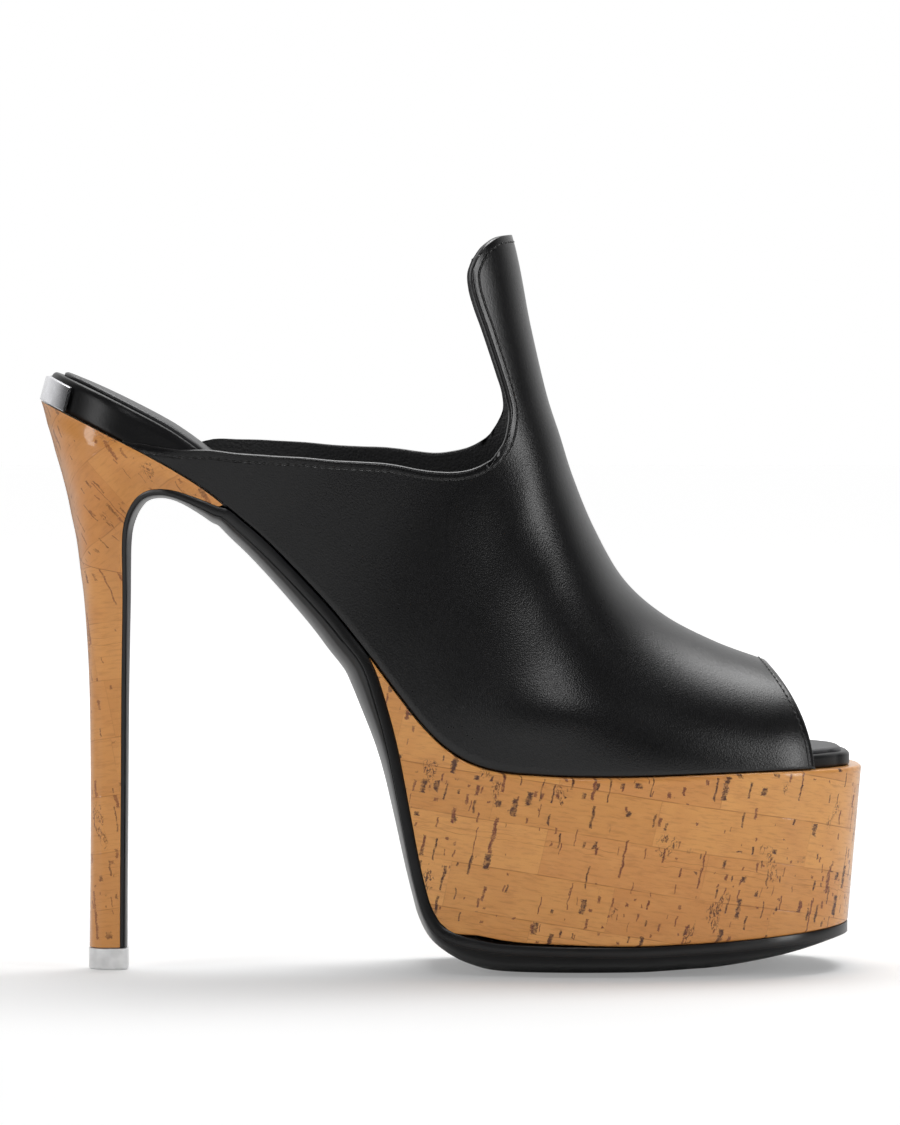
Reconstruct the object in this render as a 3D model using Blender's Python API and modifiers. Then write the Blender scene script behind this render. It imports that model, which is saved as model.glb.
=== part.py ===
"""High platform mule for the right foot, with a stiletto heel, an open toe and a tall tongue.

Toe along +X, medial side along +Y, up along +Z, standing on the floor at Z = 0.
"""

import math

import bmesh
import bpy
import numpy as np

# Driving sizes in metres
LENGTH = 0.2159
BALL_WIDTH = 0.0800
PLATFORM_HEIGHT = 0.0524
HEEL_RISE = 0.0966
INSTEP = 0.1400
WALL = 0.0019
TOE_SPRING = 0.0096
TREAD = 0.0085
SHANK = 0.0061
BREAST = 0.0018
SOLE_EDGE = 0.0027
TIP_WIDTH = 0.0104
TIP_SHIFT = 0.0030
LIFT_HEIGHT = 0.0055
LIFT_MARGIN = 0.0002
BOARD_TOE = 0.0036
BOARD_SEAT = 0.0080
BOARD_LEAN = 0.27
SOCK = 0.0011
SOCK_MARGIN = 0.0008
SOCK_BACK = 0.0040
PLATE = 0.0010
PLATE_PROUD = 0.0004
PLATE_HEIGHT = 0.0062
PLATE_ANGLE = math.radians(44)
RIM = 0.0007
TOE_RIM = 0.0032
PLATFORM_TAPER = 0.0014
FRONT_TAPER = 0.0036
PLATFORM_EDGE = 0.0008
HEEL_ROUND = 0.0240
TOE_ROUND = 0.0250
GAP = 0.0003

# How square the toe is: 2 is an ellipse
TOE_SQUARE = 2.6

# Bottom outline without its round ends
# length share, lateral and medial half width as shares of the ball width
PLAN = (
    (0.00, 0.338, 0.287),
    (0.13, 0.342, 0.289),
    (0.28, 0.311, 0.238),
    (0.37, 0.323, 0.240),
    (0.465, 0.388, 0.296),
    (0.56, 0.458, 0.388),
    (0.63, 0.491, 0.458),
    (0.70, 0.500, 0.497),
    (0.77, 0.482, 0.500),
    (0.84, 0.440, 0.480),
    (0.91, 0.378, 0.442),
    (1.00, 0.270, 0.390),
)

# Line on which the upper and the insole board sit
# length share, share of the heel rise above the platform
FOOT = (
    (0.002, 1.000),
    (0.052, 0.947),
    (0.101, 0.892),
    (0.137, 0.850),
    (0.173, 0.804),
    (0.208, 0.752),
    (0.236, 0.701),
    (0.276, 0.624),
    (0.315, 0.536),
    (0.355, 0.439),
    (0.395, 0.328),
    (0.435, 0.208),
    (0.459, 0.140),
    (0.483, 0.085),
    (0.507, 0.047),
    (0.530, 0.024),
    (0.554, 0.011),
    (0.602, 0.002),
    (0.697, -0.002),
    (0.793, 0.003),
    (0.890, 0.008),
    (1.000, 0.010),
)

# Sections of the upper, from the toe opening back to the end of the wings
# length share of the foot end, length share and instep share of the ridge end,
# forward bow, side pull, lean, crown pull and ridge offset as shares of the section height or ball width
FAN = (
    (0.936, 0.885, 0.201, 0.080, 0.55, 0.005, 0.200, 0.040),
    (0.868, 0.822, 0.237, 0.020, 0.55, 0.012, 0.205, 0.036),
    (0.785, 0.760, 0.287, 0.000, 0.54, 0.022, 0.215, 0.030),
    (0.702, 0.711, 0.354, 0.000, 0.53, 0.030, 0.230, 0.024),
    (0.618, 0.675, 0.449, 0.000, 0.51, 0.040, 0.260, 0.017),
    (0.535, 0.649, 0.545, 0.000, 0.50, 0.048, 0.300, 0.010),
    (0.452, 0.632, 0.627, 0.000, 0.48, 0.052, 0.345, 0.005),
    (0.361, 0.616, 0.704, 0.000, 0.45, 0.052, 0.380, 0.000),
    (0.294, 0.597, 0.830, 0.000, 0.43, 0.050, 0.405, 0.000),
    (0.234, 0.574, 1.001, 0.000, 0.42, 0.045, 0.420, 0.000),
    (0.174, 0.530, 1.170, 0.000, 0.40, 0.035, 0.420, 0.000),
    (0.134, 0.220, 1.076, 0.000, 0.40, 0.020, 0.400, 0.000),
)
LAST_ROW = len(FAN) - 1
TIP_ROW = 9.0

# Top edge of the wings
# length share, lateral and medial height above the foot line as shares of the instep
TOPLINE = (
    (0.137, 0.056, 0.056),
    (0.174, 0.061, 0.067),
    (0.209, 0.082, 0.097),
    (0.245, 0.121, 0.142),
    (0.283, 0.169, 0.192),
    (0.319, 0.223, 0.246),
    (0.356, 0.280, 0.303),
    (0.392, 0.346, 0.369),
    (0.428, 0.416, 0.441),
    (0.459, 0.468, 0.496),
    (0.484, 0.503, 0.532),
    (0.505, 0.526, 0.559),
    (0.526, 0.548, 0.583),
    (0.551, 0.578, 0.616),
)

# Side view of the tongue's edge, from the throat up to the corner and over to the tip
# length share, share of the instep above the platform
TONGUE_LATERAL = (
    (0.551, 0.589),
    (0.563, 0.615),
    (0.569, 0.645),
    (0.571, 0.672),
    (0.567, 0.703),
    (0.560, 0.739),
    (0.551, 0.781),
    (0.541, 0.826),
    (0.531, 0.868),
    (0.525, 0.902),
    (0.524, 0.931),
    (0.531, 0.958),
)
TONGUE_MEDIAL = ((0.551, 0.627), (0.561, 0.650), (0.568, 0.676)) + TONGUE_LATERAL[4:]
TONGUE_TOP = ((0.531, 0.958), (0.543, 0.981), (0.558, 0.996), (0.574, 1.001))

# Inner line of the sole under the platform
# length share, share of the toe spring, share of the tread, share of the edge
TREAD_LINE = (
    (0.983, 1.00, 0.33, 1.0),
    (0.956, 0.80, 0.48, 1.0),
    (0.915, 0.52, 0.70, 1.0),
    (0.868, 0.29, 0.86, 1.0),
    (0.822, 0.13, 0.96, 1.0),
    (0.767, 0.03, 1.01, 1.0),
    (0.720, 0.00, 1.00, 1.0),
    (0.637, 0.00, 1.01, 1.0),
    (0.563, 0.00, 1.07, 1.0),
)

# Inner line of the sole up the back of the platform
# length share, share of the platform height, share of the heel rise, share of the shank, share of the edge
BACK_LINE = (
    (0.530, 0.193, 0.000, 1.40, 1.0),
    (0.507, 0.216, 0.000, 1.13, 1.0),
    (0.489, 0.253, 0.000, 0.86, 1.0),
    (0.477, 0.322, 0.000, 0.70, 1.0),
    (0.470, 0.400, 0.000, 0.63, 1.0),
    (0.461, 0.550, 0.000, 0.64, 1.0),
    (0.451, 0.765, 0.000, 0.69, 1.0),
    (0.441, 0.987, 0.000, 0.79, 1.0),
    (0.434, 1.000, 0.072, 0.90, 1.0),
    (0.427, 1.000, 0.136, 1.02, 1.0),
    (0.419, 1.000, 0.199, 1.13, 1.0),
    (0.411, 1.000, 0.257, 1.22, 1.0),
)

# Shank, where the sole follows the foot line
# length share, share of the shank, share of the edge
SHANK_LINE = (
    (0.400, 1.24, 1.0),
    (0.378, 1.24, 1.0),
    (0.355, 1.19, 1.0),
    (0.315, 1.07, 1.0),
    (0.276, 1.00, 1.0),
    (0.250, 0.95, 0.95),
)

# Levels of the heel, from its seat down to its tip
# front length share, share of the platform height, share of the heel rise, share of the shank, share of the edge,
# front width share, back length share, share of the platform height, share of the heel rise, side width share, bulge
HEEL = (
    (0.231, 1.000, 0.7100, 0.90, 0.90, 1.000, 0.002, 1.000, 1.000, 1.000, 1.00),
    (0.218, 1.000, 0.7190, 0.81, 0.85, 0.985, 0.004, 1.000, 0.986, 1.000, 0.90),
    (0.206, 1.000, 0.7300, 0.70, 0.80, 0.970, 0.006, 1.000, 0.970, 0.995, 0.80),
    (0.193, 1.000, 0.7410, 0.59, 0.72, 0.950, 0.008, 1.000, 0.952, 0.990, 0.70),
    (0.181, 1.000, 0.7505, 0.51, 0.66, 0.925, 0.010, 1.000, 0.934, 0.975, 0.60),
    (0.169, 1.000, 0.7585, 0.46, 0.60, 0.895, 0.013, 1.000, 0.913, 0.955, 0.50),
    (0.157, 1.000, 0.7635, 0.43, 0.55, 0.860, 0.016, 1.000, 0.890, 0.930, 0.40),
    (0.145, 1.000, 0.7640, 0.43, 0.52, 0.810, 0.019, 1.000, 0.864, 0.890, 0.30),
    (0.132, 1.000, 0.7580, 0.43, 0.50, 0.750, 0.023, 1.000, 0.834, 0.840, 0.20),
    (0.120, 1.000, 0.7400, 0.42, 0.46, 0.670, 0.028, 1.000, 0.795, 0.770, 0.10),
    (0.110, 1.000, 0.7060, 0.40, 0.43, 0.560, 0.034, 1.000, 0.742, 0.670, 0.00),
    (0.104, 1.000, 0.6640, 0.36, 0.40, 0.460, 0.039, 1.000, 0.687, 0.560, 0.00),
    (0.102, 1.000, 0.6150, 0.32, 0.38, 0.380, 0.045, 1.000, 0.622, 0.460, 0.00),
    (0.102, 1.000, 0.5340, 0.30, 0.36, 0.270, 0.050, 1.000, 0.534, 0.320, 0.00),
    (0.102, 1.000, 0.4610, 0.30, 0.36, 0.200, 0.054, 1.000, 0.461, 0.235, 0.00),
    (0.101, 1.000, 0.3370, 0.30, 0.36, 0.120, 0.058, 1.000, 0.337, 0.140, 0.00),
    (0.100, 1.000, 0.1880, 0.30, 0.36, 0.070, 0.0605, 1.000, 0.188, 0.080, 0.00),
    (0.099, 0.847, 0.0000, 0.30, 0.36, 0.030, 0.0615, 0.847, 0.000, 0.030, 0.00),
    (0.098, 0.450, 0.0000, 0.30, 0.36, 0.010, 0.061, 0.450, 0.000, 0.010, 0.00),
)
HEEL_TIP = (0.0975, 0.0600)

# Across the sole, from its edge to its middle
# half width share, share of the depth between the edge and the tread
CROWN = ((1.0, 0.0), (0.955, 0.26), (0.86, 0.54), (0.70, 0.80), (0.50, 0.955), (0.30, 1.0))

# Thickness of the insole board
# length share, share of the way from its toe to its seat thickness
BOARD_BUILD = (
    (0.00, 1.00),
    (0.08, 1.10),
    (0.18, 1.06),
    (0.30, 0.80),
    (0.42, 0.45),
    (0.52, 0.12),
    (0.62, 0.00),
    (1.00, 0.00),
)


def column(table, i):
    return np.array([row[i] for row in table], float)


def smooth(xs, ys, x):
    """Curve through the points (xs, ys), whose slope at a point comes from both neighbours."""
    xs = np.asarray(xs, float)
    ys = np.asarray(ys, float)
    step = np.diff(xs)
    rate = np.diff(ys) / step
    slope = np.empty(len(xs))
    slope[1:-1] = (rate[:-1] * step[1:] + rate[1:] * step[:-1]) / (step[:-1] + step[1:])
    slope[0] = rate[0]
    slope[-1] = rate[-1]
    x = np.clip(x, xs[0], xs[-1])
    i = np.clip(np.searchsorted(xs, x) - 1, 0, len(xs) - 2)
    t = (x - xs[i]) / step[i]
    return (
        (2 * t**3 - 3 * t**2 + 1) * ys[i]
        + (t**3 - 2 * t**2 + t) * step[i] * slope[i]
        + (3 * t**2 - 2 * t**3) * ys[i + 1]
        + (t**3 - t**2) * step[i] * slope[i + 1]
    )


def along(points, t):
    """Point at share t of the length of a smooth curve through points."""
    points = np.asarray(points, float)
    run = np.concatenate(([0.0], np.cumsum(np.linalg.norm(np.diff(points[:, :2], axis=0), axis=1))))
    run /= run[-1]
    return np.stack([smooth(run, points[:, k], t) for k in range(points.shape[1])], axis=-1)


def at(share):
    """X of a length share."""
    return (np.asarray(share, float) - 0.5) * LENGTH


def foot(x):
    """Height of the line under the insole board."""
    rise = smooth(column(FOOT, 0), column(FOOT, 1), np.asarray(x) / LENGTH + 0.5)
    return PLATFORM_HEIGHT + rise * HEEL_RISE


def foot_slope(x):
    return (foot(x + 0.0005) - foot(x - 0.0005)) / 0.001


def seat(x):
    """Height of what rests on the foot line with the usual gap."""
    return foot(x) + GAP * np.sqrt(1 + foot_slope(x) ** 2)


def plan(x, inset=0.0, back=None, front=None):
    """Lateral and medial half width at x of the bottom outline, drawn in by inset, between back and front."""
    x = np.asarray(x, float)
    back = at(0.002) + inset if back is None else back
    front = at(1.0) - inset if front is None else front
    share = x / LENGTH + 0.5
    heel = np.clip((back - inset + HEEL_ROUND - x) / (HEEL_ROUND - inset), 0, 1)
    toe = np.clip((x - front - inset + TOE_ROUND) / (TOE_ROUND - inset), 0, 1)
    round_end = (1 - heel**2) ** 0.5 * (1 - toe**TOE_SQUARE) ** (1 / TOE_SQUARE)
    lateral = smooth(column(PLAN, 0), column(PLAN, 1), share) * BALL_WIDTH - inset
    medial = smooth(column(PLAN, 0), column(PLAN, 2), share) * BALL_WIDTH - inset
    return lateral * round_end, medial * round_end


def outline_points(x, z, lateral, medial):
    """Lateral and medial points of one outline, shape (2, n, 3)."""
    return np.array([np.stack([x, -lateral, z], -1), np.stack([x, medial, z], -1)])


def stations(count):
    """Shares from 0 to 1 that crowd at both round ends."""
    return 0.5 - 0.5 * np.cos(np.linspace(0, math.pi, count))


def new_object(name, bm, material, smooth_angle=35):
    bmesh.ops.recalc_face_normals(bm, faces=bm.faces)
    mesh = bpy.data.meshes.new(name)
    bm.to_mesh(mesh)
    bm.free()
    mesh.shade_smooth()
    mesh.set_sharp_from_angle(angle=math.radians(smooth_angle))
    mesh.materials.append(material)
    obj = bpy.data.objects.new(name, mesh)
    bpy.data.collections[COLLECTION].objects.link(obj)
    return obj


def stack(levels):
    """Closed body through outlines that lie one above the other."""
    bm = bmesh.new()
    rows = [[[bm.verts.new(p) for p in side] for side in level] for level in levels]
    for lateral, medial in (rows[0], rows[-1]):
        for i in range(len(lateral) - 1):
            bm.faces.new((lateral[i], lateral[i + 1], medial[i + 1], medial[i]))
    for low, high in zip(rows, rows[1:]):
        for a, b in zip(low, high):
            for i in range(len(a) - 1):
                bm.faces.new((a[i], a[i + 1], b[i + 1], b[i]))
        for end in (0, -1):
            bm.faces.new((low[0][end], low[1][end], high[1][end], high[0][end]))
    return bm


def loft(sections):
    """Closed body through rings of equal count, capped at both ends."""
    bm = bmesh.new()
    rings = [[bm.verts.new(p) for p in ring] for ring in sections]
    for a, b in zip(rings, rings[1:]):
        for i in range(len(a)):
            j = (i + 1) % len(a)
            bm.faces.new((a[i], a[j], b[j], b[i]))
    for ring in (rings[0], rings[-1]):
        cap = bm.faces.new(ring)
        bmesh.ops.triangulate(bm, faces=[cap])
    return bm


# Upper: sections from the foot line to the ridge

def fan(row):
    """Side-view foot end, ridge end and the shape values of a section of the upper."""
    index = np.arange(len(FAN))
    values = [smooth(index, column(FAN, k), row) for k in range(8)]
    foot_x = at(values[0])
    ridge_x = at(values[1])
    return foot_x, seat(foot_x), ridge_x, PLATFORM_HEIGHT + values[2] * INSTEP, values[3:]


def rise_share(t, pull):
    return 3 * t * (1 - t) ** 2 * pull + 3 * t**2 * (1 - t) + t**3


def skin(row, side):
    """Point of the upper's outside: side runs from -1, lateral foot, over 0, ridge, to 1, medial foot."""
    foot_x, foot_z, ridge_x, ridge_z, (bow, pull, lean, crown, ridge_y) = fan(row)
    t = 1 - np.abs(side)
    h = rise_share(t, pull)
    lateral, medial = plan(foot_x, RIM)
    half = np.where(side < 0, lateral, medial)
    y = (
        (1 - t) ** 3 * half
        + 3 * t * (1 - t) ** 2 * (half + lean * BALL_WIDTH)
        + 3 * t**2 * (1 - t) * crown * BALL_WIDTH
    )
    y = np.where(side < 0, -y, y) + ridge_y * BALL_WIDTH * (3 * t**2 * (1 - t) + t**3)
    dx = ridge_x - foot_x
    dz = ridge_z - foot_z
    push = bow * 4 * h * (1 - h)
    return np.stack([foot_x + h * dx + push * dz, y, foot_z + h * dz - push * dx], -1)


def solve(function, low, high):
    """Root of a rising function between low and high."""
    for _ in range(45):
        middle = 0.5 * (low + high)
        if function(middle) < 0:
            low = middle
        else:
            high = middle
    return 0.5 * (low + high)


def locate(x, z, low=6.0):
    """Section row and share t up that section of a side-view point of the upper."""

    def beyond(row):
        foot_x, foot_z, ridge_x, ridge_z, _ = fan(row)
        return (x - foot_x) * (ridge_z - foot_z) - (z - foot_z) * (ridge_x - foot_x)

    row = solve(beyond, low, LAST_ROW)
    foot_x, foot_z, ridge_x, ridge_z, shape = fan(row)
    dx = ridge_x - foot_x
    dz = ridge_z - foot_z
    h = min(1.0, ((x - foot_x) * dx + (z - foot_z) * dz) / (dx * dx + dz * dz))
    return row, solve(lambda t: rise_share(t, shape[1]) - h, 0.0, 1.0)


def topline_height(x, side_column):
    share = smooth(column(TOPLINE, 0), column(TOPLINE, side_column), x / LENGTH + 0.5)
    return foot(x) + share * INSTEP


def topline_t(row, side_column, throat_x):
    """Share t up a section at which it meets the top edge of the wing."""
    foot_x, foot_z, ridge_x, ridge_z, shape = fan(row)

    def above(t):
        h = rise_share(t, shape[1])
        x = foot_x + h * (ridge_x - foot_x)
        return foot_z + h * (ridge_z - foot_z) - topline_height(x, side_column)

    limit = solve(
        lambda t: foot_x + rise_share(t, shape[1]) * (ridge_x - foot_x) - throat_x, 0.0, 1.0
    )
    return solve(above, 0.0, limit)


def edge_points(table):
    return np.stack([at(column(table, 0)), PLATFORM_HEIGHT + column(table, 1) * INSTEP], -1)


def upper_grids(vamp_rows, wing_rows, wing_columns, tongue_rows, tongue_columns):
    """Row and side values of the vamp, the two wings and the tongue, which share their border points."""
    sides = (("lateral", -1, 1, TONGUE_LATERAL), ("medial", 1, 2, TONGUE_MEDIAL))
    throat = {}
    for name, sign, side_column, table in sides:
        x, z = edge_points(table)[0]
        row, t = locate(x, z)
        throat[name] = (row, t, x, sign, side_column, edge_points(table))
    row_l, t_l = throat["lateral"][:2]
    row_m, t_m = throat["medial"][:2]
    low, high = t_l - 1, 1 - t_m

    def border(side):
        """Section row behind which the wings and the tongue begin."""
        share = np.clip((side - low) / (high - low), 0, 1)
        return row_l + (row_m - row_l) * share**2 * (3 - 2 * share)

    middle = np.linspace(low, high, tongue_columns)
    side = np.concatenate((
        np.linspace(-1, low, wing_columns)[:-1],
        middle,
        np.linspace(high, 1, wing_columns)[1:],
    ))
    share = np.linspace(0, 1, vamp_rows)[:, None]
    grids = {"vamp": (share * border(side)[None, :], np.repeat(side[None, :], vamp_rows, 0))}
    for name, (row, t, x, sign, side_column, _) in throat.items():
        rows = row + (LAST_ROW - row) * np.linspace(0, 1, wing_rows) ** 1.8
        tops = [t] + [float(topline_t(r, side_column, x)) for r in rows[1:]]
        up = np.array(tops)[:, None] * np.linspace(0, 1, wing_columns)[None, :]
        grids[name] = (np.repeat(rows[:, None], wing_columns, 1), sign * (1 - up))

    def on_edge(points, count, sign, ease=1.0):
        curve = along(points, np.linspace(0, 1, count) ** ease)
        found = [locate(x, z) for x, z in curve]
        return np.array([(row, sign * (1 - t)) for row, t in found])

    left = on_edge(throat["lateral"][5], tongue_rows, -1)
    right = on_edge(throat["medial"][5], tongue_rows, 1)
    half = tongue_columns // 2 + 1
    over = on_edge(edge_points(TONGUE_TOP), half, -1)
    over[-1] = (TIP_ROW, 0.0)
    top = np.concatenate((over, (over * (1, -1))[::-1][1:]))
    bottom = np.stack([border(middle), middle], -1)
    left[0] = bottom[0]
    right[0] = bottom[-1]
    right[-1] = top[-1]
    left[-1] = top[0]
    u = np.linspace(0, 1, tongue_columns)[None, :, None]
    v = np.linspace(0, 1, tongue_rows)[:, None, None]
    corners = (
        (1 - u) * (1 - v) * bottom[0] + u * (1 - v) * bottom[-1] + (1 - u) * v * top[0] + u * v * top[-1]
    )
    patch = (
        (1 - v) * bottom[None] + v * top[None] + (1 - u) * left[:, None] + u * right[:, None] - corners
    )
    grids["tongue"] = (patch[..., 0], patch[..., 1])
    return grids


def make_upper(material):
    bm = bmesh.new()
    for row, side in upper_grids(18, 15, 8, 13, 15).values():
        points = skin(row, side)
        verts = [[bm.verts.new(p) for p in line] for line in points]
        for a, b in zip(verts, verts[1:]):
            for i in range(len(a) - 1):
                bm.faces.new((a[i], a[i + 1], b[i + 1], b[i]))
    bmesh.ops.remove_doubles(bm, verts=bm.verts, dist=0.00002)
    obj = new_object("upper", bm, material)
    shell = obj.modifiers.new("Wall", "SOLIDIFY")
    shell.thickness = WALL
    shell.offset = -1
    shell.use_even_offset = True
    return obj


# Sole: one strip from the toe to the top lift

def sole_rows():
    """Inner line, thickness, edge and half widths of the sole, from the toe to the top lift."""
    rows = []
    for share, spring, tread, edge in TREAD_LINE:
        z = spring * TOE_SPRING + tread * TREAD
        rows.append((at(share), z, tread * TREAD, edge * SOLE_EDGE))
    for share, low, high, thick, edge in BACK_LINE:
        z = low * PLATFORM_HEIGHT + high * HEEL_RISE
        rows.append((at(share), z, thick * SHANK, edge * SOLE_EDGE))
    for share, thick, edge in SHANK_LINE:
        rows.append((at(share), foot(at(share)), thick * SHANK, edge * SOLE_EDGE))
    for row in HEEL:
        z = row[1] * PLATFORM_HEIGHT + row[2] * HEEL_RISE
        thick = row[3] * SHANK if row[3] > 0.3 else BREAST
        rows.append((at(row[0]), z, thick, row[4] * SOLE_EDGE))
    rows.append((at(HEEL_TIP[0]), LIFT_HEIGHT + GAP, BREAST, rows[-1][3]))
    return np.array(rows, float)


def heel_half_widths(share, front_width, side_width):
    """Half widths of a heel level at share of its depth, from front 0 to back 1."""
    top_x = at(HEEL[0][0]) + share * (at(HEEL[0][6]) - at(HEEL[0][0]))
    lateral, medial = plan(np.maximum(top_x, at(HEEL[0][6]) + 0.00003))
    ease = np.clip(share / 0.5, 0, 1)
    width = front_width + (side_width - front_width) * ease * ease * (3 - 2 * ease)
    halves = []
    for half, shift in ((lateral, TIP_SHIFT), (medial, -TIP_SHIFT)):
        full = float(np.max(plan(at(0.13))[0 if shift > 0 else 1]))
        halves.append(half / full * (TIP_WIDTH / 2 + width * (full - TIP_WIDTH / 2)) + shift * (1 - width))
    return halves


def sole_half_widths(x, index):
    """Half widths of the sole at its row index, which past the shank follow the heel's front."""
    lateral, medial = plan(x, PLATFORM_TAPER, front=at(1.0) - FRONT_TAPER)
    first = len(TREAD_LINE) + len(BACK_LINE) + len(SHANK_LINE)
    front = [row[5] for row in HEEL] + [0.0]
    width = smooth(np.arange(len(front)), front, index - first)
    heel_lateral, heel_medial = heel_half_widths(np.zeros(len(x)), width, width)
    share = np.clip((index - first + 3) / 3, 0, 1)
    return lateral + share * (heel_lateral - lateral), medial + share * (heel_medial - medial)


def make_sole(material):
    rows = sole_rows()
    index = np.arange(len(rows), dtype=float)
    fine = np.unique(np.concatenate((np.linspace(0, 4, 12), index[4:], index[8:-6] + 0.5)))
    toe = at(1.0) - FRONT_TAPER - 0.00005
    x, z, thick, edge = (smooth(index, rows[:, k], fine) for k in range(4))
    x[:12] = at(TREAD_LINE[4][0]) + (toe - at(TREAD_LINE[4][0])) * np.sin(np.linspace(math.pi / 2, 0, 12))
    line = rows[:9]
    for values, k in ((z, 1), (thick, 2), (edge, 3)):
        values[:12] = smooth(line[::-1, 0], line[::-1, k], x[:12])
    lateral, medial = sole_half_widths(x, fine)
    before = smooth(index, rows[:, 0], fine - 0.05), smooth(index, rows[:, 1], fine - 0.05)
    after = smooth(index, rows[:, 0], fine + 0.05), smooth(index, rows[:, 1], fine + 0.05)
    dx, dz = after[0] - before[0], after[1] - before[1]
    size = np.hypot(dx, dz)
    nx, nz = -dz / size, dx / size
    tread = fine <= 8
    nx[tread], nz[tread] = 0.0, -1.0
    nx[-1], nz[-1] = 1.0, 0.0
    sections = []
    for i in range(len(fine)):
        ring = [(x[i], medial[i], z[i]), (x[i], -lateral[i], z[i])]
        middle = (medial[i] - lateral[i]) / 2
        half = (medial[i] + lateral[i]) / 2
        profile = [(-w, d) for w, d in CROWN] + [(w, d) for w, d in reversed(CROWN)]
        for width, depth in profile:
            out = edge[i] + depth * (thick[i] - edge[i]) if thick[i] > edge[i] else thick[i] * (0.6 + 0.4 * depth)
            ring.append((x[i] + nx[i] * out, middle + width * half, z[i] + nz[i] * out))
        sections.append(ring)
    return new_object("outsole", loft(sections), material)


def inner_line(rows, start, end, clear):
    """Side-view points of the sole's inner line between two rows, moved off the sole by clear."""
    index = np.linspace(start, end, int(end - start) * 2 + 1)
    every = np.arange(len(rows))
    x = smooth(every, rows[:, 0], index)
    z = smooth(every, rows[:, 1], index)
    dx = smooth(every, rows[:, 0], index + 0.05) - smooth(every, rows[:, 0], index - 0.05)
    dz = smooth(every, rows[:, 1], index + 0.05) - smooth(every, rows[:, 1], index - 0.05)
    size = np.hypot(dx, dz)
    return np.stack([x + dz / size * clear, z - dx / size * clear], -1)


def make_platform(material):
    rows = sole_rows()
    corner = len(TREAD_LINE) + 1
    tip = len(TREAD_LINE) + len(BACK_LINE) - 1
    back = inner_line(rows, corner, tip, GAP)
    front_x = at(1.0) - 0.00005
    count = 38
    share = np.sin(np.linspace(0, math.pi / 2, count))
    levels = []
    tread = rows[: len(TREAD_LINE) + 1]
    for level in (0.0, 0.03, 0.2, 0.4, 0.6, 0.8, 0.95, 1.0):
        edge = along(back, level)
        taper = (1 - level) * FRONT_TAPER
        crisp = PLATFORM_EDGE if level in (0.0, 1.0) else 0.0
        front = front_x - taper - crisp
        x = edge[0] + share * (front - edge[0])
        low_start, low_end = back[0][0], front_x - FRONT_TAPER - PLATFORM_EDGE
        low_x = low_start + share * (low_end - low_start)
        low = smooth(tread[::-1, 0], tread[::-1, 1], low_x) + GAP
        high_x = back[-1][0] + share * (front_x - PLATFORM_EDGE - back[-1][0])
        high = foot(high_x)
        fade = (1 - share) ** 3
        low += fade * (back[0][1] - low[0])
        high -= fade * max(0.0, high[0] - back[-1][1] - 0.0008)
        straight = low[0] + level * (high[0] - low[0])
        z = low + level * (high - low) + fade * (edge[1] - straight)
        if level == 1.0:
            z = np.maximum(high, z)
        lateral, medial = plan(x, (1 - level) * PLATFORM_TAPER + crisp, front=front + 0.00005)
        levels.append(outline_points(x, z, lateral, medial))
    return new_object("platform", stack(levels), material)


def make_heel(material):
    rows = sole_rows()
    first = len(rows) - len(HEEL) - 1
    share = np.sin(np.linspace(0, math.pi / 2, 15)) ** 1.15
    every = np.arange(len(rows))
    ends = [(at(r[6]), r[7] * PLATFORM_HEIGHT + r[8] * HEEL_RISE, r[9], r[10], r[5]) for r in HEEL]
    ends.append((at(HEEL_TIP[1]), LIFT_HEIGHT + GAP, 0.0, 0.0, 0.0))
    chord = ends[0][1] - rows[first, 1]
    levels = []
    for k, (back_x, back_z, side_width, bulge, front_width) in enumerate(ends):
        i = first + k
        x0, z0 = rows[i, 0] - GAP, rows[i, 1]
        if k < len(ends) - 1:
            x0, z0 = inner_line(rows, i - 0.5, i + 0.5, GAP)[1]
        if k == 0:
            x0 = 0.5 * (rows[i, 0] + rows[i + 1, 0])
        x = x0 + share * (back_x - x0)
        z = z0 + share * (back_z - z0)
        top_x = at(HEEL[0][0]) + share * (at(HEEL[0][6]) - at(HEEL[0][0]))
        top_line = rows[first, 1] + share * chord
        z += bulge * (foot(top_x) - top_line)
        if k == 0:
            z = foot(x)
        lateral, medial = heel_half_widths(share, front_width, side_width)
        levels.append(outline_points(x, z, lateral, medial))
    return new_object("heel", stack(levels), material)


def make_top_lift(material):
    share = np.sin(np.linspace(0, math.pi / 2, 15)) ** 1.15
    front = at(HEEL_TIP[0]) + BREAST + LIFT_MARGIN
    back = at(HEEL_TIP[1]) - LIFT_MARGIN
    levels = []
    for height, inset in ((0.0, 0.0005), (0.1, 0.0), (0.93, 0.0), (1.0, 0.0002)):
        x = front - inset + share * (back - front + 2 * inset)
        lateral, medial = heel_half_widths(share, 0.0, 0.0)
        grow = (TIP_WIDTH / 2 + LIFT_MARGIN - inset) / (TIP_WIDTH / 2)
        lateral = (lateral - TIP_SHIFT) * grow + TIP_SHIFT
        medial = (medial + TIP_SHIFT) * grow - TIP_SHIFT
        levels.append(outline_points(x, np.full(len(x), height * LIFT_HEIGHT), lateral, medial))
    return new_object("top_lift", stack(levels), material)


# Insole board, its sock and the plate around its back

def board_thickness(x):
    build = smooth(column(BOARD_BUILD, 0), column(BOARD_BUILD, 1), x / LENGTH + 0.5)
    return BOARD_TOE + build * (BOARD_SEAT - BOARD_TOE)


def wing_end_x():
    return float(at(FAN[-1][0]))


def board_inset(x):
    """How far the board lies inside the bottom outline: covered by the upper ahead of the wing's end."""
    seat_inset = PLATE + GAP - PLATE_PROUD
    return np.where(x < wing_end_x() - GAP, seat_inset, RIM + WALL + 2 * GAP)


def board_stations(back, front, count):
    end = wing_end_x() - 1.5 * GAP
    x = back + stations(count) * (front - back)
    return np.sort(np.append(x, (end - 0.0002, end + 0.0002)))


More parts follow.
